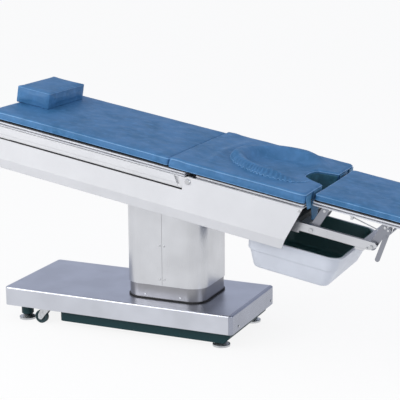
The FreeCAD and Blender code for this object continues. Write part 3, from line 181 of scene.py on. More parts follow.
def wander(points, scale, seed):
    """Smooth noise from -1 to 1 at each point."""
    offset = Vector((seed * 17.3, seed * 5.1, seed * 9.7))
    return np.array([noise.noise(Vector(p) / scale + offset) for p in points])


def waves(place, terms):
    """Sum of sine waves, each given by its height, length and phase."""
    return sum(height * np.sin(place / length + phase) for height, length, phase in terms)


def tube(name, path, radius, material, closed=False):
    """Thin round cord along millimetre points of the tabletop's frame."""
    path = np.array(path, float)
    count = len(path)
    forward = np.roll(path, -1, 0) - np.roll(path, 1, 0) if closed else np.gradient(path, axis=0)
    forward = unit(forward)
    side = unit(np.cross(forward, (0.0, 0.0, 1.0)))
    top = np.cross(side, forward)
    size = np.full(count, radius)
    if not closed:
        size[0] = size[-1] = radius * TUBE_TIP
    rings = []
    for k in range(TUBE_SIDES):
        angle = 2 * math.pi * k / TUBE_SIDES
        rings.append(path + size[:, None] * (side * math.cos(angle) + top * math.sin(angle)))
    verts = np.stack(rings, 1).reshape(-1, 3)
    faces = []
    for i in range(count if closed else count - 1):
        this = i * TUBE_SIDES
        following = (i + 1) % count * TUBE_SIDES
        for k in range(TUBE_SIDES):
            after = (k + 1) % TUBE_SIDES
            faces.append((this + k, this + after, following + after, following + k))
    if not closed:
        faces.append(tuple(range(TUBE_SIDES)))
        faces.append(tuple(range((count - 1) * TUBE_SIDES, count * TUBE_SIDES))[::-1])
    return new_object(name, verts, faces, [material])


# Materials

BEVEL_SAMPLES = 6
FINE = 0.02 * MM        # relief of brushing, orange peel and moulded grain
RUBBED = (0.995, 0.8)   # cosine of an edge's turn where its wear starts and where it is full


class Finish:
    """Principled material with helpers that add procedural detail to it."""

    def __init__(self, name, color, roughness, metallic=0.0, **sockets):
        self.material = bpy.data.materials.new(name)
        self.material.use_nodes = True
        self.nodes = self.material.node_tree.nodes
        self.links = self.material.node_tree.links
        self.shader = self.nodes["Principled BSDF"]
        self.shader.inputs["Base Color"].default_value = (*color, 1.0)
        self.shader.inputs["Roughness"].default_value = roughness
        self.shader.inputs["Metallic"].default_value = metallic
        for socket, value in sockets.items():
            self.shader.inputs[socket.replace("_", " ")].default_value = value
        self.color = color
        self.roughness = roughness
        self.normal = None

    def add(self, kind, **inputs):
        """Node of a kind, its inputs linked or set."""
        node = self.nodes.new("ShaderNode" + kind)
        for name, value in inputs.items():
            socket = node.inputs[name.replace("_", " ")]
            if isinstance(value, bpy.types.NodeSocket):
                self.links.new(value, socket)
            else:
                socket.default_value = value
        return node

    def place(self, stretch=(1.0, 1.0, 1.0), tilted=False):
        """Object coordinates, stretched, where wanted along the tilted tabletop."""
        coordinate = self.add("TexCoord").outputs["Object"]
        if tilted:
            turn = self.add("VectorRotate", Vector=coordinate, Angle=-math.atan2(UP.x, UP.z))
            turn.rotation_type = "Y_AXIS"
            coordinate = turn.outputs["Vector"]
        return self.add("Mapping", Vector=coordinate, Scale=stretch).outputs["Vector"]

    def noise(self, scale, detail=3.0, stretch=(1.0, 1.0, 1.0), distortion=0.0, tilted=False):
        node = self.add("TexNoise", Vector=self.place(stretch, tilted), Scale=scale, Detail=detail,
                        Distortion=distortion)
        return node.outputs["Fac"]

    def cells(self, scale):
        return self.add("TexVoronoi", Vector=self.place(), Scale=scale).outputs["Distance"]

    def spread(self, value, low, high, start=0.3, end=0.7):
        """Value from start to end stretched to low to high."""
        node = self.add("MapRange", Value=value, From_Min=start, From_Max=end, To_Min=low, To_Max=high)
        return node.outputs["Result"]

    def vary_roughness(self, value, amount):
        out = self.spread(value, self.roughness - amount, self.roughness + amount)
        self.links.new(out, self.shader.inputs["Roughness"])

    def vary_color(self, value, other, start=0.35, end=0.65):
        """Blend from the present colour to another one by a value."""
        node = self.nodes.new("ShaderNodeMix")
        node.data_type = "RGBA"
        socket = self.shader.inputs["Base Color"]
        if socket.is_linked:
            self.links.new(socket.links[0].from_socket, node.inputs["A"])
        else:
            node.inputs["A"].default_value = (*self.color, 1.0)
        node.inputs["B"].default_value = (*other, 1.0)
        self.links.new(self.spread(value, 0.0, 1.0, start, end), node.inputs["Factor"])
        self.links.new(node.outputs["Result"], socket)

    def set_normal(self, node):
        self.normal = node.outputs["Normal"]
        self.links.new(self.normal, self.shader.inputs["Normal"])

    def bump(self, value, height, strength=1.0):
        """Surface relief of a height in metres."""
        node = self.add("Bump", Height=value, Distance=height, Strength=strength)
        if self.normal is not None:
            self.links.new(self.normal, node.inputs["Normal"])
        self.set_normal(node)

    def bevel(self, radius):
        node = self.add("Bevel", Radius=radius)
        node.samples = BEVEL_SAMPLES
        return node

    def soft_edges(self, radius):
        """Rounded look of sharp edges."""
        self.set_normal(self.bevel(radius))

    def worn_edges(self, color, radius):
        """Lighter colour where an edge has been rubbed."""
        turn = self.nodes.new("ShaderNodeVectorMath")
        turn.operation = "DOT_PRODUCT"
        self.links.new(self.bevel(radius).outputs["Normal"], turn.inputs[0])
        self.links.new(self.add("NewGeometry").outputs["Normal"], turn.inputs[1])
        self.vary_color(turn.outputs["Value"], color, *RUBBED)


def times(color, factor):
    return tuple(c * factor for c in color)


def brushed(name, color, roughness, grain):
    """Steel with fine lines in one direction."""
    finish = Finish(name, color, roughness, metallic=1.0)
    finish.soft_edges(1.2 * MM)
    lines = finish.noise(1.0, detail=4.0, stretch=grain)
    finish.vary_roughness(lines, 0.03)
    finish.vary_color(finish.noise(9.0, detail=2.0), times(color, 0.9))
    finish.bump(lines, FINE, strength=0.04)
    return finish.material


def painted(name, color, roughness, worn=None, coat=0.15, shine=0.5):
    """Powder-coated metal with a faint orange peel, its edges worn where a colour is given for that."""
    finish = Finish(name, color, roughness, Coat_Weight=coat, Coat_Roughness=0.2, Specular_IOR_Level=shine)
    finish.soft_edges(1.5 * MM)
    peel = finish.noise(420.0, detail=2.0)
    clouds = finish.noise(6.0)
    finish.vary_roughness(clouds, 0.05)
    finish.vary_color(clouds, times(color, 0.94))
    if worn is not None:
        finish.worn_edges(worn, 0.8 * MM)
    finish.bump(peel, FINE, strength=0.12)
    return finish.material


def zinc(name):
    """Zinc-plated steel with a spangle."""
    finish = Finish(name, (0.58, 0.60, 0.62), 0.34, metallic=1.0)
    finish.soft_edges(0.6 * MM)
    finish.vary_roughness(finish.cells(220.0), 0.08)
    finish.vary_color(finish.noise(60.0), (0.46, 0.47, 0.49))
    finish.bump(finish.noise(500.0, detail=2.0), FINE, strength=0.4)
    return finish.material


def rubber(name, color, roughness):
    finish = Finish(name, color, roughness, Specular_IOR_Level=0.35)
    finish.soft_edges(0.8 * MM)
    finish.vary_color(finish.noise(40.0, detail=4.0), tuple(c * 1.35 + 0.01 for c in color))
    finish.bump(finish.noise(900.0, detail=2.0), 3 * FINE, strength=0.6)
    return finish.material


def plastic(name, color, roughness, edges=0.8 * MM):
    """Moulded plastic with a faint grain."""
    finish = Finish(name, color, roughness)
    if edges:
        finish.soft_edges(edges)
    finish.vary_color(finish.noise(12.0), times(color, 0.93))
    finish.vary_roughness(finish.noise(30.0), 0.05)
    finish.bump(finish.noise(600.0, detail=2.0), FINE, strength=0.15)
    return finish.material


def laminate(name):
    """Pale composite plate whose cut edge shows thin layers."""
    finish = Finish(name, (0.70, 0.71, 0.74), 0.4)
    finish.soft_edges(0.5 * MM)
    layers = finish.noise(1.0, detail=2.0, stretch=(8.0, 8.0, 900.0), tilted=True)
    finish.vary_color(layers, (0.50, 0.51, 0.55), start=0.45, end=0.6)
    finish.bump(finish.noise(700.0, detail=2.0), FINE, strength=0.4)
    return finish.material


def vinyl(name, color, shade, roughness=0.5):
    """Coated upholstery cloth: mottled, with a fine grain and soft creases."""
    finish = Finish(name, color, roughness, Specular_IOR_Level=0.28)
    finish.vary_color(finish.noise(9.0, detail=4.0, distortion=0.6), shade, start=0.40, end=0.72)
    finish.vary_color(finish.noise(42.0, detail=5.0), times(color, 1.18), start=0.50, end=0.80)
    finish.vary_roughness(finish.noise(26.0, detail=4.0), 0.08)
    finish.bump(finish.noise(16.0, detail=4.0, distortion=1.2), 2.2 * MM, strength=0.4)
    finish.bump(finish.cells(1100.0), 0.12 * MM, strength=0.5)
    finish.bump(finish.noise(260.0), 0.25 * MM, strength=0.35)
    return finish.material


# How quickly a brushed steel's lines change along x, y and z
UPRIGHT = (700.0, 700.0, 5.0)
LENGTHWISE = (5.0, 700.0, 700.0)
CROSSWISE = (700.0, 5.0, 700.0)
ALONG_LINK = (60.0, 500.0, 500.0)
ALONG_ROD = (40.0, 500.0, 500.0)
EVEN = (300.0, 300.0, 300.0)

# Colour, roughness and lines of each brushed steel
STEELS = {
    "stainless_column": ((0.62, 0.63, 0.66), 0.30, UPRIGHT),
    # A darker copy of the column's stainless: painted shade of the sleeve over the shroud
    "stainless_shroud_painted_shade": ((0.30, 0.30, 0.32), 0.32, UPRIGHT),
    "stainless_base": ((0.59, 0.61, 0.67), 0.33, LENGTHWISE),
    # A darker copy of the base's stainless: painted shade on the base's end cap
    "stainless_cap_painted_shade": ((0.35, 0.37, 0.44), 0.28, CROSSWISE),
    "link_steel": ((0.60, 0.61, 0.64), 0.30, ALONG_LINK),
    # A darker copy of the link steel: painted shade of the leg deck over the links and the release lever
    "link_steel_painted_shade": ((0.29, 0.30, 0.34), 0.34, ALONG_LINK),
    "ground_steel": ((0.60, 0.60, 0.62), 0.16, ALONG_ROD),
    "fastener_steel": ((0.55, 0.56, 0.58), 0.24, EVEN),
}
steel = {name: brushed(name, *look) for name, look in STEELS.items()}

VINYL = (0.054, 0.166, 0.345)
VINYL_SHADE = (0.022, 0.115, 0.250)
# The cords' vinyl made much lighter than the cushions': a painted highlight along the edges and round the ring
CORD_PAINTED_HIGHLIGHT = (0.160, 0.330, 0.560)
vinyl_blue = vinyl("vinyl_blue", VINYL, VINYL_SHADE)
vinyl_cord_painted_highlight = vinyl("vinyl_cord_painted_highlight", CORD_PAINTED_HIGHLIGHT, VINYL, 0.4)
flap_cloth = vinyl("flap_cloth", (0.075, 0.20, 0.36), (0.03, 0.11, 0.20), 0.55)
# Dark cloth for the cut-out's lining: painted shade inside the cut-out
lining_painted_shade = vinyl("lining_painted_shade", (0.024, 0.105, 0.165), (0.010, 0.050, 0.080), 0.55)
basin_outside = plastic("basin_outside", (0.58, 0.61, 0.67), 0.34, edges=None)
# The basin's inside, darkened partly as painted shade of the tabletop over it
basin_inside_painted_shade = plastic("basin_inside_painted_shade", (0.045, 0.125, 0.128), 0.42, edges=None)

SLOTS = {
    "stainless": steel["stainless_column"],
    "link_steel": steel["link_steel"],
    "ground_steel": steel["ground_steel"],
    "fastener_steel": steel["fastener_steel"],
    "zinc_steel": zinc("zinc_steel"),
    "chassis_paint": painted("chassis_paint", (0.007, 0.034, 0.040), 0.38, worn=(0.04, 0.08, 0.09),
                             coat=0.0, shine=0.2),
    "column_steel": painted("column_steel", (0.10, 0.105, 0.115), 0.4),
    "white_paint": painted("white_paint", (0.635, 0.64, 0.655), 0.32),
    "frame_paint": painted("frame_paint", (0.022, 0.025, 0.028), 0.42),
    "wheel_rubber": rubber("wheel_rubber", (0.012, 0.034, 0.040), 0.55),
    "black_rubber": rubber("black_rubber", (0.008, 0.008, 0.009), 0.6),
    "guide_plastic": plastic("guide_plastic", (0.02, 0.02, 0.021), 0.5),
    "black_board": plastic("black_board", (0.010, 0.010, 0.012), 0.55),
    "basin_plastic": basin_outside,
    "deck_laminate": laminate("deck_laminate"),
    "blue_vinyl": vinyl_blue,
    "blue_cloth": flap_cloth,
}

# Nodes whose steel looks different from their slot's; the darker copies on the links, the release lever, the
# base's end cap and the column's shroud are painted shade
OWN_STEEL = {
    "base_cover": "stainless_base",
    "base_end_cap": "stainless_cap_painted_shade",
    "column_shroud": "stainless_shroud_painted_shade",
    "head_links": "link_steel_painted_shade",
    "foot_links": "link_steel_painted_shade",
    "release_lever": "link_steel_painted_shade",
}
SHARP_FROM = math.radians(28)


def dress_frame():
    """Materials and shading of every CAD node that stays."""
    for part in frame["record"]["subparts"]:
        name = part["node"]
        mesh = frame["nodes"][name].data
        mesh.materials.clear()
        mesh.materials.append(steel[OWN_STEEL[name]] if name in OWN_STEEL else SLOTS[part["material_slot"]])
        mesh.polygons.foreach_set("use_smooth", [True] * len(mesh.polygons))
        mesh.set_sharp_from_angle(angle=SHARP_FROM)


# Cushions

CLOTH_QUALITY = 5
CLOTH_PRESSURE = 4.0
CLOTH_FRAMES = 20
CROWN_POWER = 6         # how flat the middle of a crowned top stays
TOP_FROM = 0.9          # points over this share of the half height belong to the top
WAIST_POWER = 9         # how quickly a waist fades from the sides inwards
WRINKLES = ((46.0, 3, 0.6), (19.0, 8, 0.4))  # size, seed and share of each noise
CORD_STEP = 6.0         # spacing of a sewn cord's points
CORD_TURN = 15          # degrees between its points in a corner
CORD_STAND = 0.25       # how far a cord's middle stands off the cloth, of its radius

# Cords are given by their name, level as a share of the height, and radius
SECTION_PAD = dict(radii=(12.0, 12.0, 6.0), step=8.0, cap=3.0, rise=1.0, pull=2.0, wrinkle=0.5, fill=0.9,
                   cords=(("_upper_cord", 0.93, 1.7), ("_lower_cord", 0.08, 1.3)))
PILLOW = dict(radii=(5.0, 5.0, 5.0), step=5.0, cap=1.6, rise=1.5, pull=1.0, wrinkle=0.9, fill=0.8,
              cords=(("_upper_cord", 0.97, 0.9),), grow=(7.0, 2.0, 2.0))


def inflated(obj):
    """Shift of each vertex after the closed cloth has swelled under inner pressure."""
    start = coordinates(obj.data)
    cloth = obj.modifiers.new("Cloth", "CLOTH")
    cloth.settings.quality = CLOTH_QUALITY
    cloth.settings.use_pressure = True
    cloth.settings.uniform_pressure_force = CLOTH_PRESSURE
    cloth.settings.effector_weights.gravity = 0.0
    cloth.point_cache.frame_end = CLOTH_FRAMES
    for step in range(1, CLOTH_FRAMES + 1):
        bpy.context.scene.frame_set(step)
    moved = obj.evaluated_get(bpy.context.evaluated_depsgraph_get()).to_mesh()
    shift = coordinates(moved) - start
    obj.modifiers.remove(cloth)
    bpy.context.scene.frame_set(1)
    return shift


def swell(obj, cap, floor):
    """Points of a closed cloth after swelling, none moved further than cap, resting flat on floor."""
    points = coordinates(obj.data)
    shift = inflated(obj)
    length = np.linalg.norm(shift, axis=1, keepdims=True)
    points = points + shift * np.minimum(1.0, cap * MM / np.maximum(length, 1e-9))
    inverse = np.array(TO_TABLE)
    local = points @ inverse[:3, :3].T + inverse[:3, 3]
    local[:, 2] = np.maximum(local[:, 2], floor)
    return local


def crown(points, low, high, rise, pull):
    """Raise the middle of the top and pull the sides in between the corners."""
    middle = (low + high) / 2
    half = (high - low) / 2
    at = (points - middle) / half
    dome = (1 - np.abs(at[:, 0]) ** CROWN_POWER) * (1 - np.abs(at[:, 1]) ** CROWN_POWER)
    shaped = points.copy()
    shaped[:, 2] += rise * dome * (at[:, 2] > TOP_FROM)
    for across, along in ((1, 0), (0, 1)):
        edge = np.abs(at[:, across]) ** WAIST_POWER * np.sign(at[:, across])
        shaped[:, across] -= pull * (1 - at[:, along] ** 2) * edge
    return shaped


def set_local(obj, local):
    """Write millimetre points of the tabletop's frame into a mesh."""
    matrix = np.array(TABLE)
    world = local @ matrix[:3, :3].T + matrix[:3, 3]
    obj.data.vertices.foreach_set("co", world.ravel())
    obj.data.update()


def corner_arcs(low, high, corner, step):
    """Points of a rectangle's four rounded corners, a list for each, in order round it."""
    u0, v0 = low[0] + corner, low[1] + corner
    u1, v1 = high[0] - corner, high[1] - corner
    arcs = []
    for u, v, start in ((u1, v1, 0), (u0, v1, 90), (u0, v0, 180), (u1, v0, 270)):
        angles = [math.radians(start + turn) for turn in range(0, 91, step)]
        arcs.append([(u + corner * math.cos(a), v + corner * math.sin(a)) for a in angles])
    return arcs


def perimeter(low, high, corner):
    """Points round a rectangle with rounded corners, in plan."""
    points = []
    arcs = corner_arcs(low, high, corner, CORD_TURN)
    for arc, following in zip(arcs, arcs[1:] + arcs[:1]):
        points += arc
        last, target = arc[-1], following[0]
        count = max(2, round(math.dist(last, target) / CORD_STEP))
        for share in np.linspace(0, 1, count + 1)[1:-1]:
            points.append((last[0] + share * (target[0] - last[0]), last[1] + share * (target[1] - last[1])))
    return points


def welt(name, cushion, low, high, corner, level, radius):
    """Cord sewn round a cushion at a level, lying on its surface."""
    tree = BVHTree.FromPolygons([TO_TABLE @ v.co for v in cushion.data.vertices],
                                [p.vertices for p in cushion.data.polygons])
    path = []
    for u, v in perimeter(low, high, corner):
        place, normal = tree.find_nearest(Vector((u, v, level)))[:2]
        path.append(place + normal * radius * CORD_STAND)
    return tube(name, path, radius, vinyl_cord_painted_highlight, closed=True)


def make_pad(name, node, body, radii, step, cap, rise, pull, wrinkle, fill, cords, grow=(0.0, 0.0, 0.0)):
    """Stuffed pad in the place of a CAD cushion, with its cords."""
    low, high = table_box(node)
    high = high + grow
    shrink = cap / 2
    inner_low = low + (shrink, shrink, 0.0)
    inner_high = high - (shrink, shrink, shrink)
    lines = [grid_lines(inner_low[k], inner_high[k], step, radii[k]) for k in range(3)]
    points, faces = box_grid(*lines)
    points = rounded(points, inner_low, inner_high, radii)
    points = crown(points, inner_low, inner_high, rise, pull)
    pad = new_object(name, points, faces, [vinyl_blue])
    local = swell(pad, cap, low[2])
    upper = (local[:, 2] > low[2] + 0.5)[:, None]
    ripple = sum(share * wander(local, size, seed) for size, seed, share in WRINKLES)
    away = unit((local - (inner_low + inner_high) / 2) / (high - low))
    local += upper * away * (ripple * wrinkle)[:, None]
    set_local(pad, local)
    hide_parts(node)
    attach(pad, body)
    for suffix, level, radius in cords:
        cord = welt(name + suffix, pad, low, high, radii[0], low[2] + level * (high[2] - low[2]), radius)
        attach(cord, body)


# Seat cushion

seat_low, seat_high = table_box("seat_cushion")
SEAT_HALF = seat_high[1]
SEAT_HEAD = 0.4         # where the seat cushion starts, from the seam
SEAT_END = seat_high[0]
SEAT_BOTTOM = seat_low[2]
SEAT_CORNER = 14.0
SEAT_RISE = 3.5         # the seat stands a little over the back cushion
SEAT_STEP = 3.0         # spacing of the seat mesh, fine enough for the pleats
EDGE = 8.0              # rounding of the upper edge
HEAD_EDGE = 4.0         # and at the seam
SEAT_LUMPS = ((0.9, 70.0, 1), (0.35, 24.0, 2))  # height, size and seed of each noise

CUT_START = SEAT_END - 76.0
CUT_HALF = 62.0
CUT_MOUTH_HALF = 92.0
CUT_BOW = 9.0           # how far the cut-out's inner edge bows towards the head end
BOW_ALONG = 26.0        # how far the grid round the cut-out follows that bow
BOW_ACROSS = 14.0

RING_MIDDLE = 340.0
RING_TO_HEAD = 208.0
RING_TO_FOOT = 122.0
HEAD_POWER = 2.0        # an ellipse towards the head end
FOOT_POWER = 3.0        # and squarer towards the foot end
RING_NEAR_HALF = 184.0
RING_FAR_HALF = 213.0
RING_RISE = 24.0
RING_WALL = 17.0        # width of the steep outer wall
WALL_LEAST = 0.3        # share of that width where the ring has sunk
RING_CREST = 27.0       # from the ring's outer seam inwards
RING_FOOT = 74.0        # where the inner slope meets the dish
RING_FADE = (330.0, 458.0)  # along; the ring sinks into the cushion in between
DISH_DEPTH = 11.0
DISH_FADE = (360.0, 425.0)

PLEAT_PITCH = 15.0
PLEAT_DEPTH = 9.0
PLEATS_END = 20.0       # across; only the near half of the ring is gathered
PLEATS_GROW = (20.0, 90.0)  # across; from no pleats at the ring's ends to full ones
PLEAT_WAVES = ((5.0, 37.0, 0.0), (3.0, 17.0, 1.0))  # uneven spacing of the pleats
GATHER_FROM = (-1.0, 3.0)  # inwards from the seam
GATHER_TO = 8.0

# Folds across the seat's head end: place along, slant, width and height
HEAD_FOLD = (96.0, 0.12, 16.0, 4.0)
SECOND_FOLD = (52.0, -0.08, 20.0, 2.0)
HEAD_FOLD_FADE = (150.0, 240.0)


def smooth_step(value, start, end):
    share = np.clip((value - start) / (end - start), 0.0, 1.0)
    return share * share * (3 - 2 * share)


def ring_half(v):
    """Half-width of the ring on the side of v; the far side was sewn wider."""
    return np.where(v < 0, RING_NEAR_HALF, RING_FAR_HALF)


def ring_share(u, v):
    """1 on the ring's outer seam, less inside."""
    reach = np.where(u < RING_MIDDLE, RING_TO_HEAD, RING_TO_FOOT)
    power = np.where(u < RING_MIDDLE, HEAD_POWER, FOOT_POWER)
    a = np.abs(u - RING_MIDDLE) / reach
    b = np.abs(v) / ring_half(v)
    return (a ** power + b ** power) ** (1 / power)


def ring_turn(u, v):
    """Length along the ring's seam, roughly, from its head end."""
    return np.arctan2(v / ring_half(v), (RING_MIDDLE - u) / RING_TO_HEAD) * RING_NEAR_HALF


def pleats(u, v):
    """Gathers of the ring's outer wall, -1 to 1."""
    turn = ring_turn(u, v)
    gathers = np.sin(2 * math.pi * (turn + waves(turn, PLEAT_WAVES)) / PLEAT_PITCH)
    return np.where(v < PLEATS_END, gathers, 1.0)


def fold(u, v, place, slant, width, height):
    return height * np.exp(-((u - place - slant * np.abs(v)) / width) ** 2)


def seat_height(u, v):
    """Height of the seat's top over its flat level."""
    inward = (1 - ring_share(u, v)) * RING_NEAR_HALF
    strength = 1 - smooth_step(u, *RING_FADE)
    reach = RING_WALL * (WALL_LEAST + (1 - WALL_LEAST) * strength)
    share = np.clip(inward / reach, 0.0, 1.0)
    wall = np.sqrt(1 - (1 - share) ** 2)
    slope = smooth_step(inward, RING_CREST, RING_FOOT)
    gather = smooth_step(inward, *GATHER_FROM) * (1 - smooth_step(inward, GATHER_TO, RING_CREST))
    gather *= smooth_step(np.abs(v), *PLEATS_GROW)
    height = RING_RISE * strength * wall * (1 - slope)
    height -= PLEAT_DEPTH * strength * gather * (0.5 - 0.5 * pleats(u, v))
    height -= DISH_DEPTH * slope * (1 - smooth_step(u, *DISH_FADE))
    height += fold(u, v, *HEAD_FOLD) * (1 - smooth_step(np.abs(v), *HEAD_FOLD_FADE))
    return height + fold(u, v, *SECOND_FOLD) + SEAT_RISE


def edge_drop(distance, radius):
    """How far a rounded edge lies under the flat top at a distance from the side."""
    inside = np.clip(radius - distance, 0.0, radius)
    return radius - np.sqrt(radius ** 2 - inside ** 2)


def cut_half(u):
    """Half-width of the cut-out."""
    share = np.clip((u - CUT_START) / (SEAT_END - CUT_START), 0.0, 1.0)
    return CUT_HALF + share * (CUT_MOUTH_HALF - CUT_HALF)


def cut_bow(share):
    """Offset of the cut-out's inner edge, by the share of its half-width."""
    return CUT_BOW * (2.0 * share ** 3 - 1.0)


def seat_lines():
    """Grid lines along and across the seat, some of them on the cut-out's edges."""
    rows = np.concatenate([grid_lines(SEAT_HEAD, CUT_START, SEAT_STEP, EDGE),
                           grid_lines(CUT_START, SEAT_END, SEAT_STEP, EDGE)[1:]])
    side = grid_lines(CUT_HALF, SEAT_HALF, SEAT_STEP, EDGE)
    columns = np.concatenate([-side[::-1], grid_lines(-CUT_HALF, CUT_HALF, SEAT_STEP, EDGE)[1:-1], side])
    return rows, columns


def follow_cut_out(u, v):
    """Places on a straight grid moved so that the grid follows the cut-out's flared and bowed edges."""
    width = cut_half(u)
    share = (np.abs(v) - CUT_HALF) / (SEAT_HALF - CUT_HALF)
    flared = np.sign(v) * (width + share * (SEAT_HALF - width))
    beyond = np.clip(np.abs(v) - CUT_HALF, 0, None)
    near = np.exp(-((u - CUT_START) / BOW_ALONG) ** 2) * np.exp(-beyond / BOW_ACROSS)
    bow = cut_bow(np.clip(np.abs(v) / CUT_HALF, 0, 1))
    return u + bow * near, np.where(np.abs(v) > CUT_HALF, flared, v / CUT_HALF * width)


def round_corners(u, v):
    """Places moved inside the seat's rounded corners at the foot end."""
    core_u = np.minimum(u, SEAT_END - SEAT_CORNER)
    core_v = np.clip(v, -SEAT_HALF + SEAT_CORNER, SEAT_HALF - SEAT_CORNER)
    du, dv = u - core_u, v - core_v
    length = np.hypot(du, dv)
    squeeze = np.where(length > 0, np.maximum(np.abs(du), np.abs(dv)) / np.maximum(length, 1e-9), 1.0)
    return core_u + du * squeeze, core_v + dv * squeeze


def seat_surface():
    """Seat cushion as one closed mesh, with its cut-out, and the loop of points round its upper edge."""
    rows, columns = seat_lines()
    flat_u, flat_v = np.meshgrid(rows, columns, indexing="ij")
    u, v = round_corners(*follow_cut_out(flat_u, flat_v))
    outer_gap = np.minimum(SEAT_HALF - np.abs(flat_v), SEAT_END - flat_u)
    cut_gap = np.hypot(np.clip(CUT_START - flat_u, 0, None), np.clip(np.abs(flat_v) - CUT_HALF, 0, None))
    height = seat_height(u, v) - edge_drop(np.minimum(outer_gap, cut_gap), EDGE)
    height -= edge_drop(flat_u - SEAT_HEAD, HEAD_EDGE)
    points = np.stack([u, v, height], -1).reshape(-1, 3)
    points[:, 2] += sum(lump * wander(points, size, seed) for lump, size, seed in SEAT_LUMPS)

    first_cut_row = int(np.argmin(np.abs(rows - CUT_START)))
    cut_columns = np.nonzero(np.abs(columns) <= CUT_HALF + 0.01)[0]
    faces = []
    across = len(columns)
    for i in range(len(rows) - 1):
        for j in range(across - 1):
            if i < first_cut_row or not cut_columns[0] <= j < cut_columns[-1]:
                a = i * across + j
                faces.append((a, a + across, a + across + 1, a + 1))
    return close_sheet(points, faces)


WALL_LEVELS = 7
WALL_SLACK = 1.6        # how far a side bulges halfway down
# Height, length along the edge, change down the side, and seed of each fold
WALL_FOLDS = ((2.2, 34.0, 1.4, 4.0), (0.7, 11.0, 2.2, 9.0))
TIGHT = 0.2             # looseness of the sides inside the cut-out, where the lining hangs close to them
TIGHT_MARGIN = 20.0
EDGE_OFFSET = 0.2       # of the cord's loop from the upper edge


def rim_loop(faces):
    """Vertices round the open edge of a sheet, in order."""
    directed = {(f[k], f[(k + 1) % 4]) for f in faces for k in range(4)}
    rim = {a: b for a, b in directed if (b, a) not in directed}
    loop = [next(iter(rim))]
    while rim[loop[-1]] != loop[0]:
        loop.append(rim[loop[-1]])
    return loop


def wall_bulge(run, share):
    """How far a loose side stands out at a length along the edge and a share of the way down."""
    folds = 0.0
    for height, length, change, seed in WALL_FOLDS:
        folds += height * noise.noise(Vector((run / length, share * change, seed)))
    return WALL_SLACK * math.sin(math.pi * share) + folds * math.sin(math.pi * min(1.0, share * 1.2))


def close_sheet(points, faces):
    """Side walls and a flat underside for the seat's upper sheet."""
    used = sorted({a for f in faces for a in f})
    place = {a: k for k, a in enumerate(used)}
    verts = [points[a] for a in used]
    faces = [tuple(place[a] for a in f) for f in faces]
    loop = rim_loop(faces)
    edge = np.array([verts[a] for a in loop])
    along = np.roll(edge, -1, 0) - np.roll(edge, 1, 0)
    outward = unit(np.stack([along[:, 1], -along[:, 0], np.zeros(len(loop))], -1))
    beside_cut = smooth_step(np.abs(edge[:, 1]), CUT_MOUTH_HALF, CUT_MOUTH_HALF + TIGHT_MARGIN)
    looseness = np.where(edge[:, 0] > CUT_START - TIGHT_MARGIN, TIGHT + (1 - TIGHT) * beside_cut, 1.0)

    under = len(verts)
    verts += [np.array((p[0], p[1], SEAT_BOTTOM)) for p in verts]
    faces += [tuple(under + a for a in f[::-1]) for f in faces]
    rings = [loop]
    run = run_length(edge)
    for level in range(1, WALL_LEVELS):
        share = level / WALL_LEVELS
        rings.append(list(range(len(verts), len(verts) + len(loop))))
        for k, point in enumerate(edge):
            moved = point + outward[k] * wall_bulge(run[k], share) * looseness[k]
            verts.append(np.array((moved[0], moved[1], point[2] + share * (SEAT_BOTTOM - point[2]))))
    rings.append([under + a for a in loop])
    for upper, lower in zip(rings, rings[1:]):
        for k in range(len(loop)):
            after = (k + 1) % len(loop)
            faces.append((upper[k], lower[k], lower[after], upper[after]))
    return np.array(verts), faces, edge + outward * EDGE_OFFSET


THICK_CORD = 1.9        # radii of the seat's cords
THIN_CORD = 1.3
CORD_LIFT = 2.0         # of the upper and lower cord from the seat's edges
SEAM_CLEAR = 2.0        # the cords start this far from the seam
RING_CORD_LIFT = 0.9
RING_CORD_ANGLES = np.arange(-140.0, 34.0, 0.75)  # degrees from the head end, the near side below zero
SCALLOP = 1.3           # how far the pleats draw the ring's cord in and out
RAY_REACH = 400.0
HALVINGS = 40


def across_hinge(piece):
    """Bake a piece of the seat's placement into its mesh."""
    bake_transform(piece)


def ring_path():
    """Points over the ring's outer seam, each on a ray from the ring's middle."""
    path = []
    for angle in np.radians(RING_CORD_ANGLES):
        ray = np.array((-math.cos(angle), math.sin(angle)))
        near, far = 0.0, RAY_REACH
        for _ in range(HALVINGS):
            reach = (near + far) / 2
            u, v = np.array((RING_MIDDLE, 0.0)) + ray * reach
            if ring_share(u, v) < 1:
                near = reach
            else:
                far = reach
        u, v = np.array((u, v)) + ray * SCALLOP * pleats(u, v)
        path.append((u, v, seat_height(u, v) + RING_CORD_LIFT))
    return path


def make_seat():
    """Seat pad in one piece over the hinge, with its cords."""
    verts, faces, edge = seat_surface()
    seat = new_object("seat_pad", verts, faces, [vinyl_blue])
    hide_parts("seat_cushion", "seat_cushion_lap")
    across_hinge(seat)
    free = edge[edge[:, 0] > SEAM_CLEAR]
    first = int(np.argmax(np.linalg.norm(np.diff(free, axis=0), axis=1))) + 1
    upper = np.roll(free, -first, 0)
    upper[:, 2] += CORD_LIFT
    lower = upper.copy()
    lower[:, 2] = SEAT_BOTTOM + CORD_LIFT
    across_hinge(tube("seat_edge_cord", upper, THICK_CORD, vinyl_cord_painted_highlight))
    across_hinge(tube("seat_lower_cord", lower, THIN_CORD, vinyl_cord_painted_highlight))
    across_hinge(tube("seat_ring_cord", ring_path(), THIN_CORD, vinyl_cord_painted_highlight))


# Hanging cloths

CLOTH_THICK = 0.9
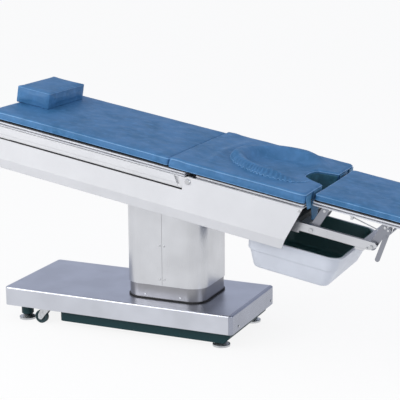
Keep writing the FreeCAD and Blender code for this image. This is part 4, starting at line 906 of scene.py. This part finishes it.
# Across from and to, lower end, bend, and how far the lower end stands out towards the foot end
FLAP_PLACES = ((203.0, 252.0, -52.0, 1.0, 4.0), (98.0, 180.0, -108.0, -0.4, 7.0))
FLAP_TOP = -4.0
FLAP_FRONT = SEAT_END + 3.8
FLAP_ROWS = 23
FLAP_COLUMNS = 13
FLAP_TAPER = 0.28       # how much narrower the lower end is
TAPERS_FROM = 0.55      # shares of the fall where that and the stand start
STANDS_FROM = 0.42
FLAP_WAVE = 1.6         # heights of the waves across and down the flap
FLAP_RIPPLE = 0.5
FLAP_CURL = 2.4         # how far the lower end curls, times its bend
FLAP_CORNER = 3.0       # how much higher the lower end's corners are


def thicken(cloth):
    solid = cloth.modifiers.new("thickness", "SOLIDIFY")
    solid.thickness = CLOTH_THICK * MM
    solid.offset = 0.0


def flap_lift(share, fall, bend, stand):
    """How far a flap stands out at a share of its width and of its fall."""
    lift = FLAP_WAVE * math.sin(math.pi * share * 1.6 + bend * 2) * fall
    lift += FLAP_CURL * bend * fall ** 2 + FLAP_RIPPLE * math.sin(fall * 7 + share * 4)
    return lift + stand * smooth_step(fall, STANDS_FROM, 1.0) * (1 + 0.5 * math.sin(math.pi * share))


def make_flap(name, side, start, end, bottom, bend, stand):
    """Loose tongue of coated cloth that hangs from the seat's foot edge."""
    width = end - start
    verts = []
    for fall in np.linspace(0.0, 1.0, FLAP_ROWS):
        for share in np.linspace(0.0, 1.0, FLAP_COLUMNS):
            from_middle = abs(2 * share - 1)
            narrow = 1 - FLAP_TAPER * smooth_step(fall, TAPERS_FROM, 1.0) * from_middle ** 2
            across = start + width / 2 + (share - 0.5) * width * narrow
            up = FLAP_TOP + fall * (bottom - FLAP_TOP) + FLAP_CORNER * fall * from_middle ** 3
            verts.append((FLAP_FRONT + flap_lift(share, fall, bend, stand), side * across, up))
    faces = sheet_faces(FLAP_ROWS, FLAP_COLUMNS)
    flap = new_object(name, verts, faces if side < 0 else [f[::-1] for f in faces], [flap_cloth])
    thicken(flap)
    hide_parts("drape_flaps")
    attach(flap, "table_frame")


LINING_TOP = -7.0
LINING_BOTTOM = -84.0
LINING_GAP = 2.2
LINING_ROWS = 19
LINING_SIDE = 16        # points along a side of the cut-out and along its inner edge
LINING_HEAD = 29
LINING_START = 1.0      # from the seat's foot end
LINING_STAND = 1.2      # how far the lower end hangs inwards
LINING_WAVES = ((1.4, 13.0, 0.0), (0.9, 7.3, 2.0))
# Depth, place before the middle, and width of the fold at the head end
LINING_FOLD = (2.0, 8.0, 40.0)


def cut_out_path():
    """Points along the cut-out's edge from one mouth to the other, a little inside the opening."""
    half = CUT_HALF - LINING_GAP
    mouth = CUT_MOUTH_HALF - LINING_GAP
    start = SEAT_END - LINING_START
    corner = CUT_START + CUT_BOW + LINING_GAP
    shares = np.linspace(0.0, 1.0, LINING_SIDE, endpoint=False)
    near = [(start + share * (corner - start), -mouth + share * (mouth - half)) for share in shares]
    head = [(CUT_START + LINING_GAP + cut_bow(abs(v) / half), v)
            for v in np.linspace(-half, half, LINING_HEAD)]
    far = [(u, -v) for u, v in near[::-1]]
    return np.array(near + head + far)


def make_lining():
    """Cloth that lines the cut-out and hangs below the deck, with a fold in its head end wall; its dark colour is
    painted shade inside the cut-out.
    """
    path = cut_out_path()
    run = run_length(path)
    along = np.gradient(path, axis=0)
    inward = unit(np.stack([along[:, 1], -along[:, 0]], -1))
    depth, before, width = LINING_FOLD
    crease = depth * np.exp(-((run - run[-1] / 2 + before) / width) ** 2)
    verts = []
    for fall in np.linspace(0.0, 1.0, LINING_ROWS):
        stand = crease * fall ** 0.6 + (LINING_STAND + waves(run, LINING_WAVES)) * fall
        up = LINING_TOP + fall * (LINING_BOTTOM - LINING_TOP)
        verts += [(u, v, up) for u, v in path + inward * stand[:, None]]
    lining = new_object("cut_out_lining", verts, sheet_faces(LINING_ROWS, len(path)), [lining_painted_shade])
    thicken(lining)
    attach(lining, "table_frame")


# Gasket, and strips of painted shade behind the slots

GASKET_SHARE = 0.5      # height of the gasket's lip, of its CAD solid's
SHADE_STRIP_THICK = 3.0
SHADE_STRIP_HEIGHT = 9.5
SHADE_STRIP_END = 20.0         # along, past the cushion seam
SHADE_STRIP_START = 4.0        # from the skirt's head end
SHADE_STRIP_DROP = 1.5         # below the back rails
SHADE_STRIP_INSET = 2.0        # from their outer faces


def make_gasket():
    """Rubber lip round the column's foot, flatter than its CAD solid."""
    mesh = frame["nodes"]["column_gasket"].data.copy()
    low = min(v.co.z for v in mesh.vertices)
    for vertex in mesh.vertices:
        vertex.co.z = low + (vertex.co.z - low) * GASKET_SHARE
    gasket = add_object("column_lip", mesh)
    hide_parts("column_gasket")
    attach(gasket, "base")


def make_slot_shade_strips():
    """Dark strip behind the slot between the back rails and the side skirts, on both sides: painted shade in the
    slot.
    """
    rail_low, rail_high = table_box("back_rails")
    start = table_box("side_skirt_near")[0][0] + SHADE_STRIP_START
    top = rail_low[2] - SHADE_STRIP_DROP
    for name, side in (("near", -1), ("far", 1)):
        outer = side * (rail_high[1] - SHADE_STRIP_INSET)
        inner = outer - side * SHADE_STRIP_THICK
        points, faces = box_grid(np.linspace(start, SHADE_STRIP_END, 24),
                                 np.linspace(min(outer, inner), max(outer, inner), 3),
                                 np.linspace(top - SHADE_STRIP_HEIGHT, top, 4))
        points = rounded(points, points.min(0), points.max(0), (1.0, 1.0, 1.0))
        shade_strip = new_object("slot_shade_strip_" + name, points, faces, [SLOTS["black_rubber"]])
        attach(shade_strip, "table_frame")


# Basin

basin_low, basin_high = table_box("drain_basin")
BASIN_STEP = 54.0       # from the rim down to the step in the walls
BASIN_CORNER = 46.0     # corner radius at the rim's outline
CORNER_LOSS = 0.45      # by how much the corner radius shrinks per inset
BASIN_TURN = 9          # degrees between points in a corner


def basin_ring(inset, level):
    """Points round the basin at an inset from its rim's outline."""
    corner = BASIN_CORNER - inset * CORNER_LOSS
    arcs = corner_arcs(basin_low + inset, basin_high - inset, corner, BASIN_TURN)
    return [(u, v, level) for arc in arcs for u, v in arc]


def make_basin():
    """Moulded basin with a rolled rim, a soft step and rounded corners, pale outside and dark inside, the dark
    inside partly painted shade of the tabletop over it.
    """
    top = basin_high[2]
    bottom = basin_low[2]
    step = top - BASIN_STEP
    # Inset from the rim's outline, and level
    outside = [(60.0, bottom), (49.0, bottom + 0.6), (43.5, bottom + 3.5), (40.5, bottom + 9.0),
               (23.5, step - 6.0), (22.6, step - 2.5), (20.5, step - 0.6), (17.4, step + 0.8),
               (16.2, step + 3.0), (12.8, top - 6.0), (12.5, top - 3.0)]
    rim = [(3.0, top - 3.6), (0.9, top - 3.2), (0.0, top - 1.8), (0.7, top - 0.4), (2.4, top)]
    rim_inside = [(9.5, top), (13.2, top - 0.6), (15.2, top - 3.0)]
    inside = [(18.9, step + 5.0), (20.4, step + 3.2), (23.6, step + 1.6), (25.8, step - 1.0),
              (26.6, step - 6.0), (43.0, bottom + 12.0), (46.5, bottom + 6.0), (52.0, bottom + 3.4),
              (60.0, bottom + 3.0)]
    profile = outside + rim + rim_inside + inside
    dark_from = len(outside) + len(rim)
    verts = [point for inset, level in profile for point in basin_ring(inset, level)]
    around = len(verts) // len(profile)
    faces = []
    indices = []
    for ring in range(len(profile) - 1):
        a = ring * around
        for k in range(around):
            after = (k + 1) % around
            faces.append((a + k, a + around + k, a + around + after, a + after))
            indices.append(int(ring >= dark_from))
    last = (len(profile) - 1) * around
    faces += [tuple(range(around)), tuple(range(last, last + around))[::-1]]
    indices += [0, 1]
    basin = new_object("basin_tub", verts, faces, [basin_outside, basin_inside_painted_shade], indices=indices)
    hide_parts("drain_basin")
    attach(basin, "basin")


# Camera, floor and light

CAMERA_PLACE = Vector((1.754, -4.330, 1.620))
CAMERA_YAW = math.radians(24.10)
CAMERA_PITCH = math.radians(13.42)
CAMERA_ROLL = math.radians(-0.36)
CAMERA_LENS = 120.7

FLOOR_HALF = 30.0
FLOOR_COLOR = (0.86, 0.86, 0.87, 1.0)
FLOOR_GLOW = 0.88       # share of plain white in the floor, for the camera and in mirror images

ROOM_FRONT = (0.80, 0.81, 0.84, 1.0)  # light from the camera's side (-Y)
ROOM_BACK = (0.54, 0.575, 0.69, 1.0)
ROOM_BLEND = (-0.35, 0.55)  # y of the directions between which one turns into the other

LIGHT_TARGET = Vector((0.0, 0.0, 0.5))
# Place, size, power and colour of each area light
LIGHTS = {
    "key": ((-2.6, -3.1, 2.2), (3.0, 3.0), 92.0, (1.0, 0.99, 0.97)),
    "side": ((3.4, -1.0, 1.6), (2.0, 2.0), 22.0, (0.95, 0.97, 1.0)),
    "top": ((0.2, 0.3, 3.8), (3.2, 2.4), 8.0, (1.0, 1.0, 1.0)),
}


def make_camera():
    """Camera fitted to the edges of the base and the tabletop in the photo."""
    data = bpy.data.cameras.new("camera")
    data.lens = CAMERA_LENS
    camera = add_object("camera", data)
    bpy.context.scene.camera = camera
    forward = Vector((-math.sin(CAMERA_YAW) * math.cos(CAMERA_PITCH),
                      math.cos(CAMERA_YAW) * math.cos(CAMERA_PITCH), -math.sin(CAMERA_PITCH)))
    right = Vector((math.cos(CAMERA_YAW), math.sin(CAMERA_YAW), 0.0))
    up = right.cross(forward)
    rolled_right = right * math.cos(CAMERA_ROLL) + up * math.sin(CAMERA_ROLL)
    rolled_up = up * math.cos(CAMERA_ROLL) - right * math.sin(CAMERA_ROLL)
    turn = Matrix((rolled_right, rolled_up, -forward)).transposed()
    camera.matrix_world = Matrix.Translation(CAMERA_PLACE) @ turn.to_4x4()


def floor_material():
    """Pale floor that glows for camera and mirror rays, and else only takes light."""
    material = bpy.data.materials.new("floor")
    material.use_nodes = True
    nodes, links = material.node_tree.nodes, material.node_tree.links
    shader = nodes["Principled BSDF"]
    shader.inputs["Base Color"].default_value = FLOOR_COLOR
    shader.inputs["Roughness"].default_value = 0.85
    glow = nodes.new("ShaderNodeEmission")
    path = nodes.new("ShaderNodeLightPath")
    either = nodes.new("ShaderNodeMath")
    either.operation = "MAXIMUM"
    seen = nodes.new("ShaderNodeMath")
    seen.operation = "MULTIPLY"
    seen.inputs[1].default_value = FLOOR_GLOW
    mix = nodes.new("ShaderNodeMixShader")
    links.new(path.outputs["Is Camera Ray"], either.inputs[0])
    links.new(path.outputs["Is Glossy Ray"], either.inputs[1])
    links.new(either.outputs["Value"], seen.inputs[0])
    links.new(seen.outputs["Value"], mix.inputs["Fac"])
    links.new(shader.outputs["BSDF"], mix.inputs[1])
    links.new(glow.outputs["Emission"], mix.inputs[2])
    links.new(mix.outputs["Shader"], nodes["Material Output"].inputs["Surface"])
    return material


def make_floor():
    """Floor that reads as white to the camera and keeps a soft shadow."""
    corners = [(x * FLOOR_HALF, y * FLOOR_HALF, 0.0) for x, y in ((-1, -1), (1, -1), (1, 1), (-1, 1))]
    mesh = bpy.data.meshes.new("floor")
    mesh.from_pydata(corners, [], [(0, 1, 2, 3)])
    mesh.materials.append(floor_material())
    floor = add_object("floor", mesh)


def make_world():
    """Soft room light, brighter on the camera's side, that the camera itself sees as white."""
    world = bpy.data.worlds.new("room")
    world.use_nodes = True
    nodes, links = world.node_tree.nodes, world.node_tree.links
    room = nodes["Background"]
    coordinate = nodes.new("ShaderNodeTexCoord")
    split = nodes.new("ShaderNodeSeparateXYZ")
    level = nodes.new("ShaderNodeMapRange")
    level.inputs["From Min"].default_value, level.inputs["From Max"].default_value = ROOM_BLEND
    tint = nodes.new("ShaderNodeMix")
    tint.data_type = "RGBA"
    tint.inputs["A"].default_value = ROOM_FRONT
    tint.inputs["B"].default_value = ROOM_BACK
    links.new(coordinate.outputs["Generated"], split.inputs["Vector"])
    links.new(split.outputs["Y"], level.inputs["Value"])
    links.new(level.outputs["Result"], tint.inputs["Factor"])
    links.new(tint.outputs["Result"], room.inputs["Color"])
    white = nodes.new("ShaderNodeBackground")
    white.inputs["Color"].default_value = (1.0, 1.0, 1.0, 1.0)
    path = nodes.new("ShaderNodeLightPath")
    mix = nodes.new("ShaderNodeMixShader")
    links.new(path.outputs["Is Camera Ray"], mix.inputs["Fac"])
    links.new(room.outputs["Background"], mix.inputs[1])
    links.new(white.outputs["Background"], mix.inputs[2])
    links.new(mix.outputs["Shader"], nodes["World Output"].inputs["Surface"])
    bpy.context.scene.world = world


def make_lights():
    """Area lights that face the table."""
    for name, (place, size, power, color) in LIGHTS.items():
        data = bpy.data.lights.new(name, "AREA")
        data.shape = "RECTANGLE"
        data.size, data.size_y = size
        data.energy = power
        data.color = color
        light = add_object(name, data)
        light.location = place
        light.rotation_euler = (LIGHT_TARGET - Vector(place)).to_track_quat("-Z", "Y").to_euler()


# Assembly

dress_frame()
make_pad("back_pad", "back_cushion", "back_section", **SECTION_PAD)
make_pad("leg_pad", "leg_cushion", "leg_section", **SECTION_PAD)
make_pad("pillow_pad", "pillow", "head_pillow", **PILLOW)
make_seat()
for number, flap in enumerate(FLAP_PLACES, 1):
    make_flap("flap_near_%d" % number, -1, *flap)
    make_flap("flap_far_%d" % number, 1, *flap)
make_lining()
make_gasket()
make_slot_shade_strips()
make_basin()
make_camera()
make_floor()
make_world()
make_lights()

scene = bpy.context.scene
scene.view_settings.view_transform = "Standard"
